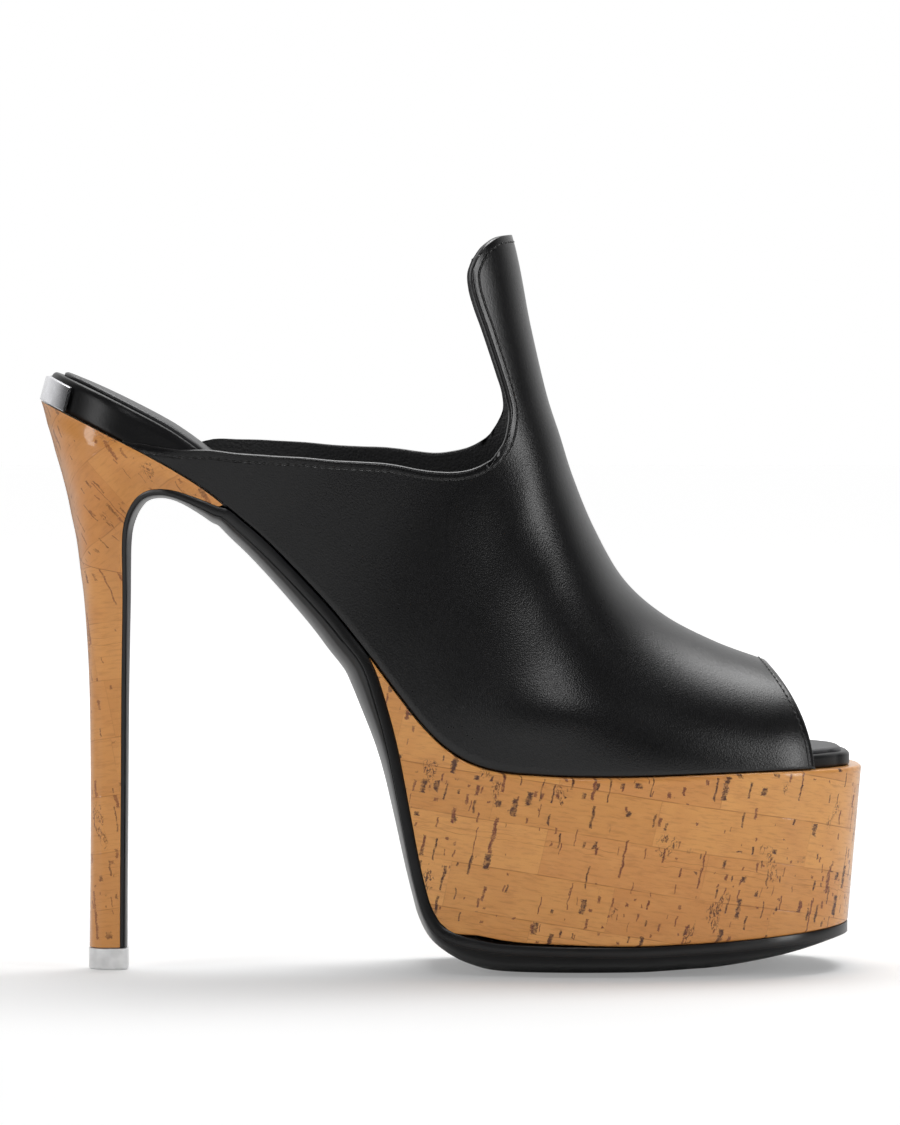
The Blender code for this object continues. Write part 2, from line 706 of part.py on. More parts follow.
def board_level(height, extra, count, lift=0.0):
    """Outline of the board at a share of its thickness, drawn in by extra."""
    back = at(0.002) + PLATE + GAP - PLATE_PROUD
    front = at(1.0) - TOE_RIM
    x = board_stations(back + extra + 0.00005, front - extra - 0.00005, count)
    inset = board_inset(x)
    lateral, medial = plan(x, extra, back=back + extra, front=front - extra)
    share = np.clip((x - back) / 0.004, 0, 1) * np.clip((front - x) / 0.004, 0, 1)
    lateral -= inset * share
    medial -= inset * share
    thick = board_thickness(x)
    lean = BOARD_LEAN * np.clip((at(0.25) - x) / (at(0.25) - at(0.15)), 0, 1)
    return outline_points(x + lean * height * thick, seat(x) + height * thick + lift, lateral, medial)


def make_board(material):
    levels = [
        board_level(height, extra, 40)
        for height, extra in ((0.0, 0.0004), (0.12, 0.0), (0.70, 0.0), (0.92, 0.0004), (1.0, 0.0012))
    ]
    return new_object("insole_board", stack(levels), material)


def make_sock(material):
    levels = []
    for lift, extra in ((GAP, 0.0), (GAP + 0.6 * SOCK, 0.0), (GAP + SOCK, 0.0004)):
        back = at(0.002) + SOCK_BACK
        front = at(1.0) - TOE_RIM - 0.0022
        x = back + extra + 0.00005 + stations(36) * (front - back - 2 * extra - 0.0001)
        inset = SOCK_MARGIN + RIM + WALL + 2 * GAP
        lateral, medial = plan(x, extra, back=back + extra, front=front - extra)
        share = np.clip((x - back) / 0.004, 0, 1) * np.clip((front - x) / 0.004, 0, 1)
        lateral -= inset * share
        medial -= inset * share
        thick = board_thickness(x)
        lean = BOARD_LEAN * np.clip((at(0.25) - x) / (at(0.25) - at(0.15)), 0, 1)
        slope = np.sqrt(1 + foot_slope(x) ** 2)
        levels.append(outline_points(x + lean * thick, seat(x) + thick + lift * slope, lateral, medial))
    return new_object("sock", stack(levels), material)


def make_plate(material):
    """U-shaped plate around the back of the seat band: a strip with a wall."""
    back = at(0.002)
    angles = np.linspace(-PLATE_ANGLE, PLATE_ANGLE, 19)
    bm = bmesh.new()
    rows = []
    for height in (0.0, 0.5, 1.0):
        rise = height * PLATE_HEIGHT
        x = back + HEEL_ROUND - (HEEL_ROUND + PLATE_PROUD) * np.cos(angles)
        lateral, medial = plan(back + HEEL_ROUND)
        y = np.where(angles < 0, lateral + PLATE_PROUD, medial + PLATE_PROUD) * np.sin(angles)
        z = seat(x) + rise
        rows.append([bm.verts.new(p) for p in zip(x + BOARD_LEAN * rise, y, z)])
    for a, b in zip(rows, rows[1:]):
        for i in range(len(a) - 1):
            bm.faces.new((a[i], a[i + 1], b[i + 1], b[i]))
    obj = new_object("heel_plate", bm, material)
    shell = obj.modifiers.new("Wall", "SOLIDIFY")
    shell.thickness = PLATE
    shell.offset = -1
    return obj


def make_material(name, colour, roughness, metallic=0.0):
    material = bpy.data.materials.new(name)
    material.use_nodes = True
    shader = material.node_tree.nodes["Principled BSDF"]
    shader.inputs["Base Color"].default_value = (*colour, 1.0)
    shader.inputs["Roughness"].default_value = roughness
    shader.inputs["Metallic"].default_value = metallic
    return material


def centre_on_floor(objects):
    """Moves all pieces so that the box around them has its middle over the origin."""
    bpy.context.view_layer.update()
    graph = bpy.context.evaluated_depsgraph_get()
    points = []
    for obj in objects:
        mesh = obj.evaluated_get(graph).to_mesh()
        points += [vertex.co.copy() for vertex in mesh.vertices]
    points = np.array(points)
    middle = (points.min(0) + points.max(0)) / 2
    for obj in objects:
        obj.location = (-middle[0], -middle[1], -points[:, 2].min())
    print("box", points.min(0), points.max(0))


for old in list(bpy.data.objects):
    bpy.data.objects.remove(old, do_unlink=True)

COLLECTION = "platform_mule"
bpy.context.scene.collection.children.link(bpy.data.collections.new(COLLECTION))

pieces = [
    make_upper(make_material("calf_black", (0.012, 0.012, 0.013), 0.36)),
    make_board(make_material("board_leather", (0.014, 0.014, 0.015), 0.40)),
    make_sock(make_material("sock_leather", (0.030, 0.030, 0.033), 0.50)),
    make_platform(make_material("platform_cork", (0.640, 0.370, 0.150), 0.35)),
    make_sole(make_material("sole_black", (0.010, 0.010, 0.011), 0.42)),
    make_heel(make_material("heel_cork", (0.600, 0.330, 0.130), 0.35)),
    make_top_lift(make_material("lift_white", (0.780, 0.780, 0.780), 0.45)),
    make_plate(make_material("plate_steel", (0.780, 0.780, 0.800), 0.22, 1.0)),
]
centre_on_floor(pieces)
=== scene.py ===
"""High platform mule for the right foot: its visible pieces, their finishes and the studio.

Toe along +X, medial side along +Y, up along +Z, standing on the floor at Z = 0.
"""

import math
from functools import partialmethod

import bmesh
import bpy
import numpy as np
from bpy.props import FloatProperty, FloatVectorProperty, PointerProperty
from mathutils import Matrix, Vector
from mathutils.bvhtree import BVHTree
from mathutils.kdtree import KDTree


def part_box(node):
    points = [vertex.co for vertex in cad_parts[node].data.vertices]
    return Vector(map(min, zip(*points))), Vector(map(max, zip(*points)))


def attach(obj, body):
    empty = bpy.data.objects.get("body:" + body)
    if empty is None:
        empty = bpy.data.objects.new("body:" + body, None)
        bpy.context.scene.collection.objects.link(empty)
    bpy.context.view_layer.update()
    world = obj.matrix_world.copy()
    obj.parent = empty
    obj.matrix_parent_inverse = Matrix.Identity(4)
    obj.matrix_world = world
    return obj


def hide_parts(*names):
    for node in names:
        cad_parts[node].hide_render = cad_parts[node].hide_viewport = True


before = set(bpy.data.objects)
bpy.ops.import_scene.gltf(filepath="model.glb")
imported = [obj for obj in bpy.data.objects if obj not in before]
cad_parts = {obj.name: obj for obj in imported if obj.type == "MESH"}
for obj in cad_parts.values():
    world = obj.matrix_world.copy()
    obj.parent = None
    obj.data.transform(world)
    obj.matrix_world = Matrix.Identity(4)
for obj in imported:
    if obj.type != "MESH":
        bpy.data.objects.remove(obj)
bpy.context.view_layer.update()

bl_info = {
    "name": "Platform mule",
    "version": (1, 0, 0),
    "blender": (4, 5, 0),
    "location": "View3D > Sidebar > Mule",
    "description": "Builds the pieces of a platform mule, their finishes and the studio",
    "category": "Object",
}

# Driving sizes in metres
LENGTH = 0.2159
BALL_WIDTH = 0.0800
PLATFORM_HEIGHT = 0.0524
HEEL_RISE = 0.0966
INSTEP = 0.1400
WALL = 0.0019
TOE_SPRING = 0.0096
TREAD = 0.0085
SHANK = 0.0061
BREAST = 0.0018
SOLE_EDGE = 0.0027
TIP_WIDTH = 0.0104
TIP_SHIFT = 0.0030
LIFT_HEIGHT = 0.0055
LIFT_MARGIN = 0.0002
BOARD_TOE = 0.0036
BOARD_SEAT = 0.0080
BOARD_LEAN = 0.27
SOCK = 0.0011
SOCK_MARGIN = 0.0008
SOCK_BACK = 0.0040
PLATE = 0.0010
PLATE_PROUD = 0.0004
PLATE_HEIGHT = 0.0062
PLATE_ANGLE = math.radians(44)
RIM = 0.0007
TOE_RIM = 0.0032
PLATFORM_TAPER = 0.0014
FRONT_TAPER = 0.0036
PLATFORM_EDGE = 0.0008
HEEL_ROUND = 0.0240
TOE_ROUND = 0.0250
GAP = 0.0003

# Seam between the visible cork and sole
SEAM = 0.00003

# Points of the upper's parts that are nearer than this are one point
WELD = 0.000004

# Room kept at the ends of an outline, where its width runs out
END_ROOM = 0.00005

# Run over which an outline eases into its inset at both ends
END_EASE = 0.004

# Edges of the hard pieces that are steeper than this, in degrees, stay crisp
CREASE_ANGLE = 40

# Slope of the cork strips in degrees, and the height at which those of the heel change it
PLATFORM_SLOPE = 8.5
HEEL_SLOPES = (8.0, 27.0)
HEEL_PARTED = 0.1085
HEEL_STRIP = 1.25

# Studio: floor radius, strength of the world for surfaces in front of the shoe and behind it
FLOOR_RADIUS = 7.0
FLOOR_SIDES = 64
WORLD_FRONT = 0.02
WORLD_BACK = 0.80

# Lights: name, width and height, watts, place, what it is turned to
SOFTBOXES = (
    ("top_softbox", (1.1, 0.9), 17.0, (0.15, 0.45, 1.25), (0.0, 0.0, 0.08)),
    ("right_softbox", (0.5, 1.0), 11.0, (1.45, -0.90, 0.45), (0.0, 0.0, 0.07)),
    ("left_softbox", (0.5, 1.0), 10.0, (-1.45, -0.90, 0.45), (0.0, 0.0, 0.07)),
    ("high_softbox", (0.35, 0.25), 3.0, (-0.12, -1.35, 1.05), (0.0, 0.0, 0.07)),
)

# Camera: angles in degrees, target and distance in metres, lens and sensor in millimetres
VIEW_AZIMUTH = -1.0
VIEW_ELEVATION = 2.0
VIEW_TARGET = (-0.00035, 0.0, 0.1064)
VIEW_DISTANCE = 1.6
LENS = 194.7
SENSOR = 36.0

# How square the toe is: 2 is an ellipse
TOE_SQUARE = 2.6

# Bottom outline without its round ends
# length share, lateral and medial half width as shares of the ball width
PLAN = (
    (0.00, 0.338, 0.287),
    (0.13, 0.342, 0.289),
    (0.28, 0.311, 0.238),
    (0.37, 0.323, 0.240),
    (0.465, 0.388, 0.296),
    (0.56, 0.458, 0.388),
    (0.63, 0.491, 0.458),
    (0.70, 0.500, 0.497),
    (0.77, 0.482, 0.500),
    (0.84, 0.440, 0.480),
    (0.91, 0.378, 0.442),
    (1.00, 0.270, 0.390),
)

# Line on which the upper and the insole board sit
# length share, share of the heel rise above the platform
FOOT = (
    (0.002, 1.000),
    (0.052, 0.947),
    (0.101, 0.892),
    (0.137, 0.850),
    (0.173, 0.804),
    (0.208, 0.752),
    (0.236, 0.701),
    (0.276, 0.624),
    (0.315, 0.536),
    (0.355, 0.439),
    (0.395, 0.328),
    (0.435, 0.208),
    (0.459, 0.140),
    (0.483, 0.085),
    (0.507, 0.047),
    (0.530, 0.024),
    (0.554, 0.011),
    (0.602, 0.002),
    (0.697, -0.002),
    (0.793, 0.003),
    (0.890, 0.008),
    (1.000, 0.010),
)

# Sections of the upper, from the toe opening back to the end of the wings
# length share of the foot end, length share and instep share of the ridge end,
# forward bow, side pull, lean, crown pull and ridge offset as shares of the section height or ball width
FAN = (
    (0.936, 0.885, 0.201, 0.080, 0.55, 0.005, 0.200, 0.040),
    (0.868, 0.822, 0.237, 0.020, 0.55, 0.012, 0.205, 0.036),
    (0.785, 0.760, 0.287, 0.000, 0.54, 0.022, 0.215, 0.030),
    (0.702, 0.711, 0.354, 0.000, 0.53, 0.030, 0.230, 0.024),
    (0.618, 0.675, 0.449, 0.000, 0.51, 0.040, 0.260, 0.017),
    (0.535, 0.649, 0.545, 0.000, 0.50, 0.048, 0.300, 0.010),
    (0.452, 0.632, 0.627, 0.000, 0.48, 0.052, 0.345, 0.005),
    (0.361, 0.616, 0.704, 0.000, 0.45, 0.052, 0.380, 0.000),
    (0.294, 0.597, 0.830, 0.000, 0.43, 0.050, 0.405, 0.000),
    (0.234, 0.574, 1.001, 0.000, 0.42, 0.045, 0.420, 0.000),
    (0.174, 0.530, 1.170, 0.000, 0.40, 0.035, 0.420, 0.000),
    (0.134, 0.220, 1.076, 0.000, 0.40, 0.020, 0.400, 0.000),
    (0.104, 0.185, 1.000, 0.000, 0.40, 0.012, 0.395, 0.000),
)
LAST_ROW = len(FAN) - 1
TIP_ROW = 9.0

# Top edge of the wings
# length share, lateral and medial height above the foot line as shares of the instep
TOPLINE = (
    (0.104, 0.006, 0.006),
    (0.113, 0.009, 0.009),
    (0.123, 0.015, 0.015),
    (0.133, 0.021, 0.021),
    (0.144, 0.027, 0.027),
    (0.159, 0.036, 0.037),
    (0.173, 0.046, 0.049),
    (0.188, 0.060, 0.067),
    (0.209, 0.082, 0.097),
    (0.245, 0.121, 0.142),
    (0.283, 0.169, 0.192),
    (0.319, 0.223, 0.246),
    (0.356, 0.280, 0.303),
    (0.392, 0.346, 0.369),
    (0.428, 0.416, 0.441),
    (0.459, 0.468, 0.496),
    (0.484, 0.503, 0.532),
    (0.505, 0.526, 0.559),
    (0.526, 0.548, 0.583),
    (0.551, 0.578, 0.616),
)

# Side view of the tongue's edge, from the throat up to the corner and over to the tip
# length share, share of the instep above the platform
TONGUE_LATERAL = (
    (0.551, 0.589),
    (0.563, 0.615),
    (0.569, 0.645),
    (0.571, 0.672),
    (0.567, 0.703),
    (0.560, 0.739),
    (0.551, 0.781),
    (0.541, 0.826),
    (0.531, 0.868),
    (0.525, 0.902),
    (0.524, 0.931),
    (0.531, 0.958),
)
TONGUE_MEDIAL = ((0.551, 0.627), (0.561, 0.650), (0.568, 0.676)) + TONGUE_LATERAL[4:]
TONGUE_TOP = ((0.531, 0.958), (0.543, 0.981), (0.558, 0.996), (0.574, 1.001))

# Inner line of the sole under the platform
# length share, share of the toe spring, share of the tread, share of the edge
TREAD_LINE = (
    (0.983, 1.00, 0.33, 1.0),
    (0.956, 0.80, 0.48, 1.0),
    (0.915, 0.52, 0.70, 1.0),
    (0.868, 0.29, 0.86, 1.0),
    (0.822, 0.13, 0.96, 1.0),
    (0.767, 0.03, 1.01, 1.0),
    (0.720, 0.00, 1.00, 1.0),
    (0.637, 0.00, 1.01, 1.0),
    (0.563, 0.00, 1.07, 1.0),
)

# Inner line of the sole up the back of the platform
# length share, share of the platform height, share of the heel rise, share of the shank, share of the edge
BACK_LINE = (
    (0.530, 0.193, 0.000, 1.40, 1.0),
    (0.507, 0.216, 0.000, 1.13, 1.0),
    (0.489, 0.253, 0.000, 0.86, 1.0),
    (0.477, 0.322, 0.000, 0.70, 1.0),
    (0.470, 0.400, 0.000, 0.63, 1.0),
    (0.461, 0.550, 0.000, 0.64, 1.0),
    (0.451, 0.765, 0.000, 0.69, 1.0),
    (0.441, 0.987, 0.000, 0.79, 1.0),
    (0.434, 1.000, 0.072, 0.90, 1.0),
    (0.427, 1.000, 0.136, 1.02, 1.0),
    (0.419, 1.000, 0.199, 1.13, 1.0),
    (0.411, 1.000, 0.257, 1.22, 1.0),
)

# Shank, where the sole follows the foot line
# length share, share of the shank, share of the edge
SHANK_LINE = (
    (0.400, 1.24, 1.0),
    (0.378, 1.24, 1.0),
    (0.355, 1.19, 1.0),
    (0.315, 1.07, 1.0),
    (0.276, 1.00, 1.0),
    (0.250, 0.95, 0.95),
)

# Levels of the heel, from its seat down to its tip
# front: length share, share of the platform height, share of the heel rise, share of the shank,
# share of the edge, width share
# back: length share, share of the platform height, share of the heel rise, side width share, bulge
HEEL = (
    (0.231, 1.000, 0.7100, 0.90, 0.90, 1.000, 0.002, 1.000, 1.000, 1.000, 1.00),
    (0.218, 1.000, 0.7190, 0.81, 0.85, 0.985, 0.004, 1.000, 0.986, 1.000, 0.90),
    (0.206, 1.000, 0.7300, 0.70, 0.80, 0.970, 0.006, 1.000, 0.970, 0.995, 0.80),
    (0.193, 1.000, 0.7410, 0.59, 0.72, 0.950, 0.008, 1.000, 0.952, 0.990, 0.70),
    (0.181, 1.000, 0.7505, 0.51, 0.66, 0.925, 0.010, 1.000, 0.934, 0.975, 0.60),
    (0.169, 1.000, 0.7585, 0.46, 0.60, 0.895, 0.013, 1.000, 0.913, 0.955, 0.50),
    (0.157, 1.000, 0.7635, 0.43, 0.55, 0.860, 0.016, 1.000, 0.890, 0.930, 0.40),
    (0.145, 1.000, 0.7640, 0.43, 0.52, 0.810, 0.019, 1.000, 0.864, 0.890, 0.30),
    (0.132, 1.000, 0.7580, 0.43, 0.50, 0.750, 0.023, 1.000, 0.834, 0.840, 0.20),
    (0.120, 1.000, 0.7400, 0.42, 0.46, 0.670, 0.028, 1.000, 0.795, 0.770, 0.10),
    (0.110, 1.000, 0.7060, 0.40, 0.43, 0.560, 0.034, 1.000, 0.742, 0.670, 0.00),
    (0.104, 1.000, 0.6640, 0.36, 0.40, 0.460, 0.039, 1.000, 0.687, 0.560, 0.00),
    (0.102, 1.000, 0.6150, 0.32, 0.38, 0.380, 0.045, 1.000, 0.622, 0.460, 0.00),
    (0.102, 1.000, 0.5340, 0.30, 0.36, 0.270, 0.050, 1.000, 0.534, 0.320, 0.00),
    (0.102, 1.000, 0.4610, 0.30, 0.36, 0.200, 0.054, 1.000, 0.461, 0.235, 0.00),
    (0.101, 1.000, 0.3370, 0.30, 0.36, 0.120, 0.058, 1.000, 0.337, 0.140, 0.00),
    (0.100, 1.000, 0.1880, 0.30, 0.36, 0.070, 0.0605, 1.000, 0.188, 0.080, 0.00),
    (0.099, 0.847, 0.0000, 0.30, 0.36, 0.030, 0.0615, 0.847, 0.000, 0.030, 0.00),
    (0.098, 0.450, 0.0000, 0.30, 0.36, 0.010, 0.061, 0.450, 0.000, 0.010, 0.00),
)
HEEL_TIP = (0.0975, 0.0600)

# Across the sole, from its edge to its middle
# half width share, share of the depth between the edge and the tread
CROWN = ((1.0, 0.0), (0.955, 0.26), (0.86, 0.54), (0.70, 0.80), (0.50, 0.955), (0.30, 1.0))

# Thickness of the insole board
# length share, share of the way from its toe to its seat thickness
BOARD_BUILD = (
    (0.00, 1.00),
    (0.08, 1.10),
    (0.18, 1.06),
    (0.30, 0.80),
    (0.42, 0.45),
    (0.52, 0.12),
    (0.62, 0.00),
    (1.00, 0.00),
)

# Soft forms in the upper: side, place along, height, half length, half height, how far out
SWELLS = (
    (-1, 0.0255, 0.0690, 0.0190, 0.0085, 0.00130),
    (1, 0.0330, 0.0690, 0.0200, 0.0085, 0.00110),
    (-1, -0.0785, 0.1350, 0.0060, 0.0022, 0.00035),
)


def column(table, i):
    return np.array([row[i] for row in table], float)


def smooth(xs, ys, x):
    """Curve through the points (xs, ys), whose slope at a point comes from both neighbours."""
    xs = np.asarray(xs, float)
    ys = np.asarray(ys, float)
    step = np.diff(xs)
    rate = np.diff(ys) / step
    slope = np.empty(len(xs))
    slope[1:-1] = (rate[:-1] * step[1:] + rate[1:] * step[:-1]) / (step[:-1] + step[1:])
    slope[0] = rate[0]
    slope[-1] = rate[-1]
    x = np.clip(x, xs[0], xs[-1])
    i = np.clip(np.searchsorted(xs, x) - 1, 0, len(xs) - 2)
    t = (x - xs[i]) / step[i]
    return (
        (2 * t**3 - 3 * t**2 + 1) * ys[i]
        + (t**3 - 2 * t**2 + t) * step[i] * slope[i]
        + (3 * t**2 - 2 * t**3) * ys[i + 1]
        + (t**3 - t**2) * step[i] * slope[i + 1]
    )


def run_of(points):
    """Length of a line of points up to each of them."""
    return np.concatenate(([0.0], np.cumsum(np.linalg.norm(np.diff(points, axis=0), axis=1))))


def soften(values, reach, width):
    """Values averaged with their neighbours up to reach away, the ends held."""
    kernel = np.exp(-0.5 * (np.arange(-reach, reach + 1) / width) ** 2)
    return np.convolve(np.pad(values, reach, mode="edge"), kernel / kernel.sum(), mode="valid")


def quarter(count):
    """Angles from 0 to a quarter turn."""
    return np.linspace(0, math.pi / 2, count)


def along(points, t):
    """Point at share t of the length of a smooth curve through points."""
    points = np.asarray(points, float)
    run = run_of(points[:, :2])
    run /= run[-1]
    return np.stack([smooth(run, points[:, k], t) for k in range(points.shape[1])], axis=-1)


def at(share):
    """X of a length share."""
    return (np.asarray(share, float) - 0.5) * LENGTH


def foot(x):
    """Height of the line under the insole board."""
    rise = smooth(column(FOOT, 0), column(FOOT, 1), np.asarray(x) / LENGTH + 0.5)
    return PLATFORM_HEIGHT + rise * HEEL_RISE


def foot_slope(x):
    return (foot(x + 0.0005) - foot(x - 0.0005)) / 0.001


def seat(x):
    """Height of what rests on the foot line with the usual gap."""
    return foot(x) + GAP * np.sqrt(1 + foot_slope(x) ** 2)


def plan(x, inset=0.0, back=None, front=None):
    """Lateral and medial half width at x of the bottom outline between back and front, drawn in by inset."""
    x = np.asarray(x, float)
    back = at(0.002) + inset if back is None else back
    front = at(1.0) - inset if front is None else front
    share = x / LENGTH + 0.5
    heel = np.clip((back - inset + HEEL_ROUND - x) / (HEEL_ROUND - inset), 0, 1)
    toe = np.clip((x - front - inset + TOE_ROUND) / (TOE_ROUND - inset), 0, 1)
    round_end = (1 - heel**2) ** 0.5 * (1 - toe**TOE_SQUARE) ** (1 / TOE_SQUARE)
    lateral = smooth(column(PLAN, 0), column(PLAN, 1), share) * BALL_WIDTH - inset
    medial = smooth(column(PLAN, 0), column(PLAN, 2), share) * BALL_WIDTH - inset
    return lateral * round_end, medial * round_end


def outline_points(x, z, lateral, medial):
    """Lateral and medial points of one outline, shape (2, n, 3)."""
    return np.array([np.stack([x, -lateral, z], -1), np.stack([x, medial, z], -1)])


def stations(count):
    """Shares from 0 to 1 that crowd at both round ends."""
    return 0.5 - 0.5 * np.cos(np.linspace(0, math.pi, count))


def loft(sections):
    """Closed body through rings of equal count, capped at both ends."""
    bm = bmesh.new()
    rings = [[bm.verts.new(p) for p in ring] for ring in sections]
    for a, b in zip(rings, rings[1:]):
        for i in range(len(a)):
            j = (i + 1) % len(a)
            bm.faces.new((a[i], a[j], b[j], b[i]))
    for ring in (rings[0], rings[-1]):
        cap = bm.faces.new(ring)
        bmesh.ops.triangulate(bm, faces=[cap])
    return bm


# Upper: sections from the foot line to the ridge

def fan(row):
    """Side-view foot end, ridge end and the shape values of a section of the upper."""
    index = np.arange(len(FAN))
    values = [smooth(index, column(FAN, k), row) for k in range(8)]
    foot_x = at(values[0])
    ridge_x = at(values[1])
    return foot_x, seat(foot_x), ridge_x, PLATFORM_HEIGHT + values[2] * INSTEP, values[3:]


def rise_share(t, pull):
    return 3 * t * (1 - t) ** 2 * pull + 3 * t**2 * (1 - t) + t**3


def swell(points, side):
    """Adds the soft forms that the foot presses into the leather."""
    points = points.copy()
    for way, x, z, long, high, out in SWELLS:
        near = ((points[..., 0] - x) / long) ** 2 + ((points[..., 2] - z) / high) ** 2
        share = np.exp(-near) * (np.sign(side) == way)
        points[..., 1] += way * out * share
    return points


def skin(row, side):
    """Point of the upper's outside: side runs from -1, lateral foot, over 0, ridge, to 1, medial foot."""
    foot_x, foot_z, ridge_x, ridge_z, (bow, pull, lean, crown, ridge_y) = fan(row)
    t = 1 - np.abs(side)
    h = rise_share(t, pull)
    lateral, medial = plan(foot_x, RIM)
    half = np.where(side < 0, lateral, medial)
    y = (
        (1 - t) ** 3 * half
        + 3 * t * (1 - t) ** 2 * (half + lean * BALL_WIDTH)
        + 3 * t**2 * (1 - t) * crown * BALL_WIDTH
    )
    y = np.where(side < 0, -y, y) + ridge_y * BALL_WIDTH * (3 * t**2 * (1 - t) + t**3)
    dx = ridge_x - foot_x
    dz = ridge_z - foot_z
    push = bow * 4 * h * (1 - h)
    points = np.stack([foot_x + h * dx + push * dz, y, foot_z + h * dz - push * dx], -1)
    return swell(points, side)


def solve(function, low, high):
    """Root of a rising function between low and high."""
    for _ in range(45):
        middle = 0.5 * (low + high)
        if function(middle) < 0:
            low = middle
        else:
            high = middle
    return 0.5 * (low + high)


def locate(x, z, low=6.0):
    """Section row and share t up that section of a side-view point of the upper."""

    def beyond(row):
        foot_x, foot_z, ridge_x, ridge_z, _ = fan(row)
        return (x - foot_x) * (ridge_z - foot_z) - (z - foot_z) * (ridge_x - foot_x)

    row = solve(beyond, low, LAST_ROW)
    foot_x, foot_z, ridge_x, ridge_z, shape = fan(row)
    dx = ridge_x - foot_x
    dz = ridge_z - foot_z
    h = min(1.0, ((x - foot_x) * dx + (z - foot_z) * dz) / (dx * dx + dz * dz))
    return row, solve(lambda t: rise_share(t, shape[1]) - h, 0.0, 1.0)


def topline_height(x, side_column):
    share = smooth(column(TOPLINE, 0), column(TOPLINE, side_column), x / LENGTH + 0.5)
    return foot(x) + share * INSTEP


def topline_t(row, side_column, throat_x):
    """Share t up a section at which it meets the top edge of the wing."""
    foot_x, foot_z, ridge_x, ridge_z, shape = fan(row)

    def above(t):
        h = rise_share(t, shape[1])
        x = foot_x + h * (ridge_x - foot_x)
        return foot_z + h * (ridge_z - foot_z) - topline_height(x, side_column)

    def past_throat(t):
        return foot_x + rise_share(t, shape[1]) * (ridge_x - foot_x) - throat_x

    return solve(above, 0.0, solve(past_throat, 0.0, 1.0))


def edge_points(table):
    return np.stack([at(column(table, 0)), PLATFORM_HEIGHT + column(table, 1) * INSTEP], -1)


def upper_grids(vamp_rows, wing_rows, wing_columns, tongue_rows, tongue_columns):
    """Row and side values of the vamp, the two wings and the tongue, which share their border points."""
    sides = (("lateral", -1, 1, TONGUE_LATERAL), ("medial", 1, 2, TONGUE_MEDIAL))
    throat = {}
    for name, sign, side_column, table in sides:
        x, z = edge_points(table)[0]
        row, t = locate(x, z)
        throat[name] = (row, t, x, sign, side_column, edge_points(table))
    row_l, t_l = throat["lateral"][:2]
    row_m, t_m = throat["medial"][:2]
    low, high = t_l - 1, 1 - t_m

    def border(side):
        """Section row behind which the wings and the tongue begin."""
        share = np.clip((side - low) / (high - low), 0, 1)
        return row_l + (row_m - row_l) * share**2 * (3 - 2 * share)

    middle = np.linspace(low, high, tongue_columns)
    side = np.concatenate((
        np.linspace(-1, low, wing_columns)[:-1],
        middle,
        np.linspace(high, 1, wing_columns)[1:],
    ))
    share = np.linspace(0, 1, vamp_rows)[:, None]
    grids = {"vamp": (share * border(side)[None, :], np.repeat(side[None, :], vamp_rows, 0))}
    for name, (row, t, x, sign, side_column, _) in throat.items():
        rows = row + (LAST_ROW - row) * np.linspace(0, 1, wing_rows) ** 1.8
        tops = [t] + [float(topline_t(r, side_column, x)) for r in rows[1:]]
        up = np.array(tops)[:, None] * np.linspace(0, 1, wing_columns)[None, :]
        grids[name] = (np.repeat(rows[:, None], wing_columns, 1), sign * (1 - up))

    def on_edge(points, count, sign, ease=1.0):
        curve = along(points, np.linspace(0, 1, count) ** ease)
        found = [locate(x, z) for x, z in curve]
        return np.array([(row, sign * (1 - t)) for row, t in found])

    left = on_edge(throat["lateral"][5], tongue_rows, -1)
    right = on_edge(throat["medial"][5], tongue_rows, 1)
    half = tongue_columns // 2 + 1
    over = on_edge(edge_points(TONGUE_TOP), half, -1)
    over[-1] = (TIP_ROW, 0.0)
    top = np.concatenate((over, (over * (1, -1))[::-1][1:]))
    bottom = np.stack([border(middle), middle], -1)
    left[0] = bottom[0]
    right[0] = bottom[-1]
    right[-1] = top[-1]
    left[-1] = top[0]
    u = np.linspace(0, 1, tongue_columns)[None, :, None]
    v = np.linspace(0, 1, tongue_rows)[:, None, None]
    corners = (
        (1 - u) * (1 - v) * bottom[0] + u * (1 - v) * bottom[-1] + (1 - u) * v * top[0] + u * v * top[-1]
    )
    patch = (
        (1 - v) * bottom[None] + v * top[None] + (1 - u) * left[:, None] + u * right[:, None] - corners
    )
    grids["tongue"] = (patch[..., 0], patch[..., 1])
    return grids


# Sole: one strip from the toe to the top lift

def sole_rows():
    """Inner line, thickness, edge and half widths of the sole, from the toe to the top lift."""
    rows = []
    for share, spring, tread, edge in TREAD_LINE:
        z = spring * TOE_SPRING + tread * TREAD
        rows.append((at(share), z, tread * TREAD, edge * SOLE_EDGE))
    for share, low, high, thick, edge in BACK_LINE:
        z = low * PLATFORM_HEIGHT + high * HEEL_RISE
        rows.append((at(share), z, thick * SHANK, edge * SOLE_EDGE))
    for share, thick, edge in SHANK_LINE:
        rows.append((at(share), foot(at(share)), thick * SHANK, edge * SOLE_EDGE))
    for row in HEEL:
        z = row[1] * PLATFORM_HEIGHT + row[2] * HEEL_RISE
        thick = row[3] * SHANK if row[3] > 0.3 else BREAST
        rows.append((at(row[0]), z, thick, row[4] * SOLE_EDGE))
    rows.append((at(HEEL_TIP[0]), LIFT_HEIGHT + GAP, BREAST, rows[-1][3]))
    return np.array(rows, float)


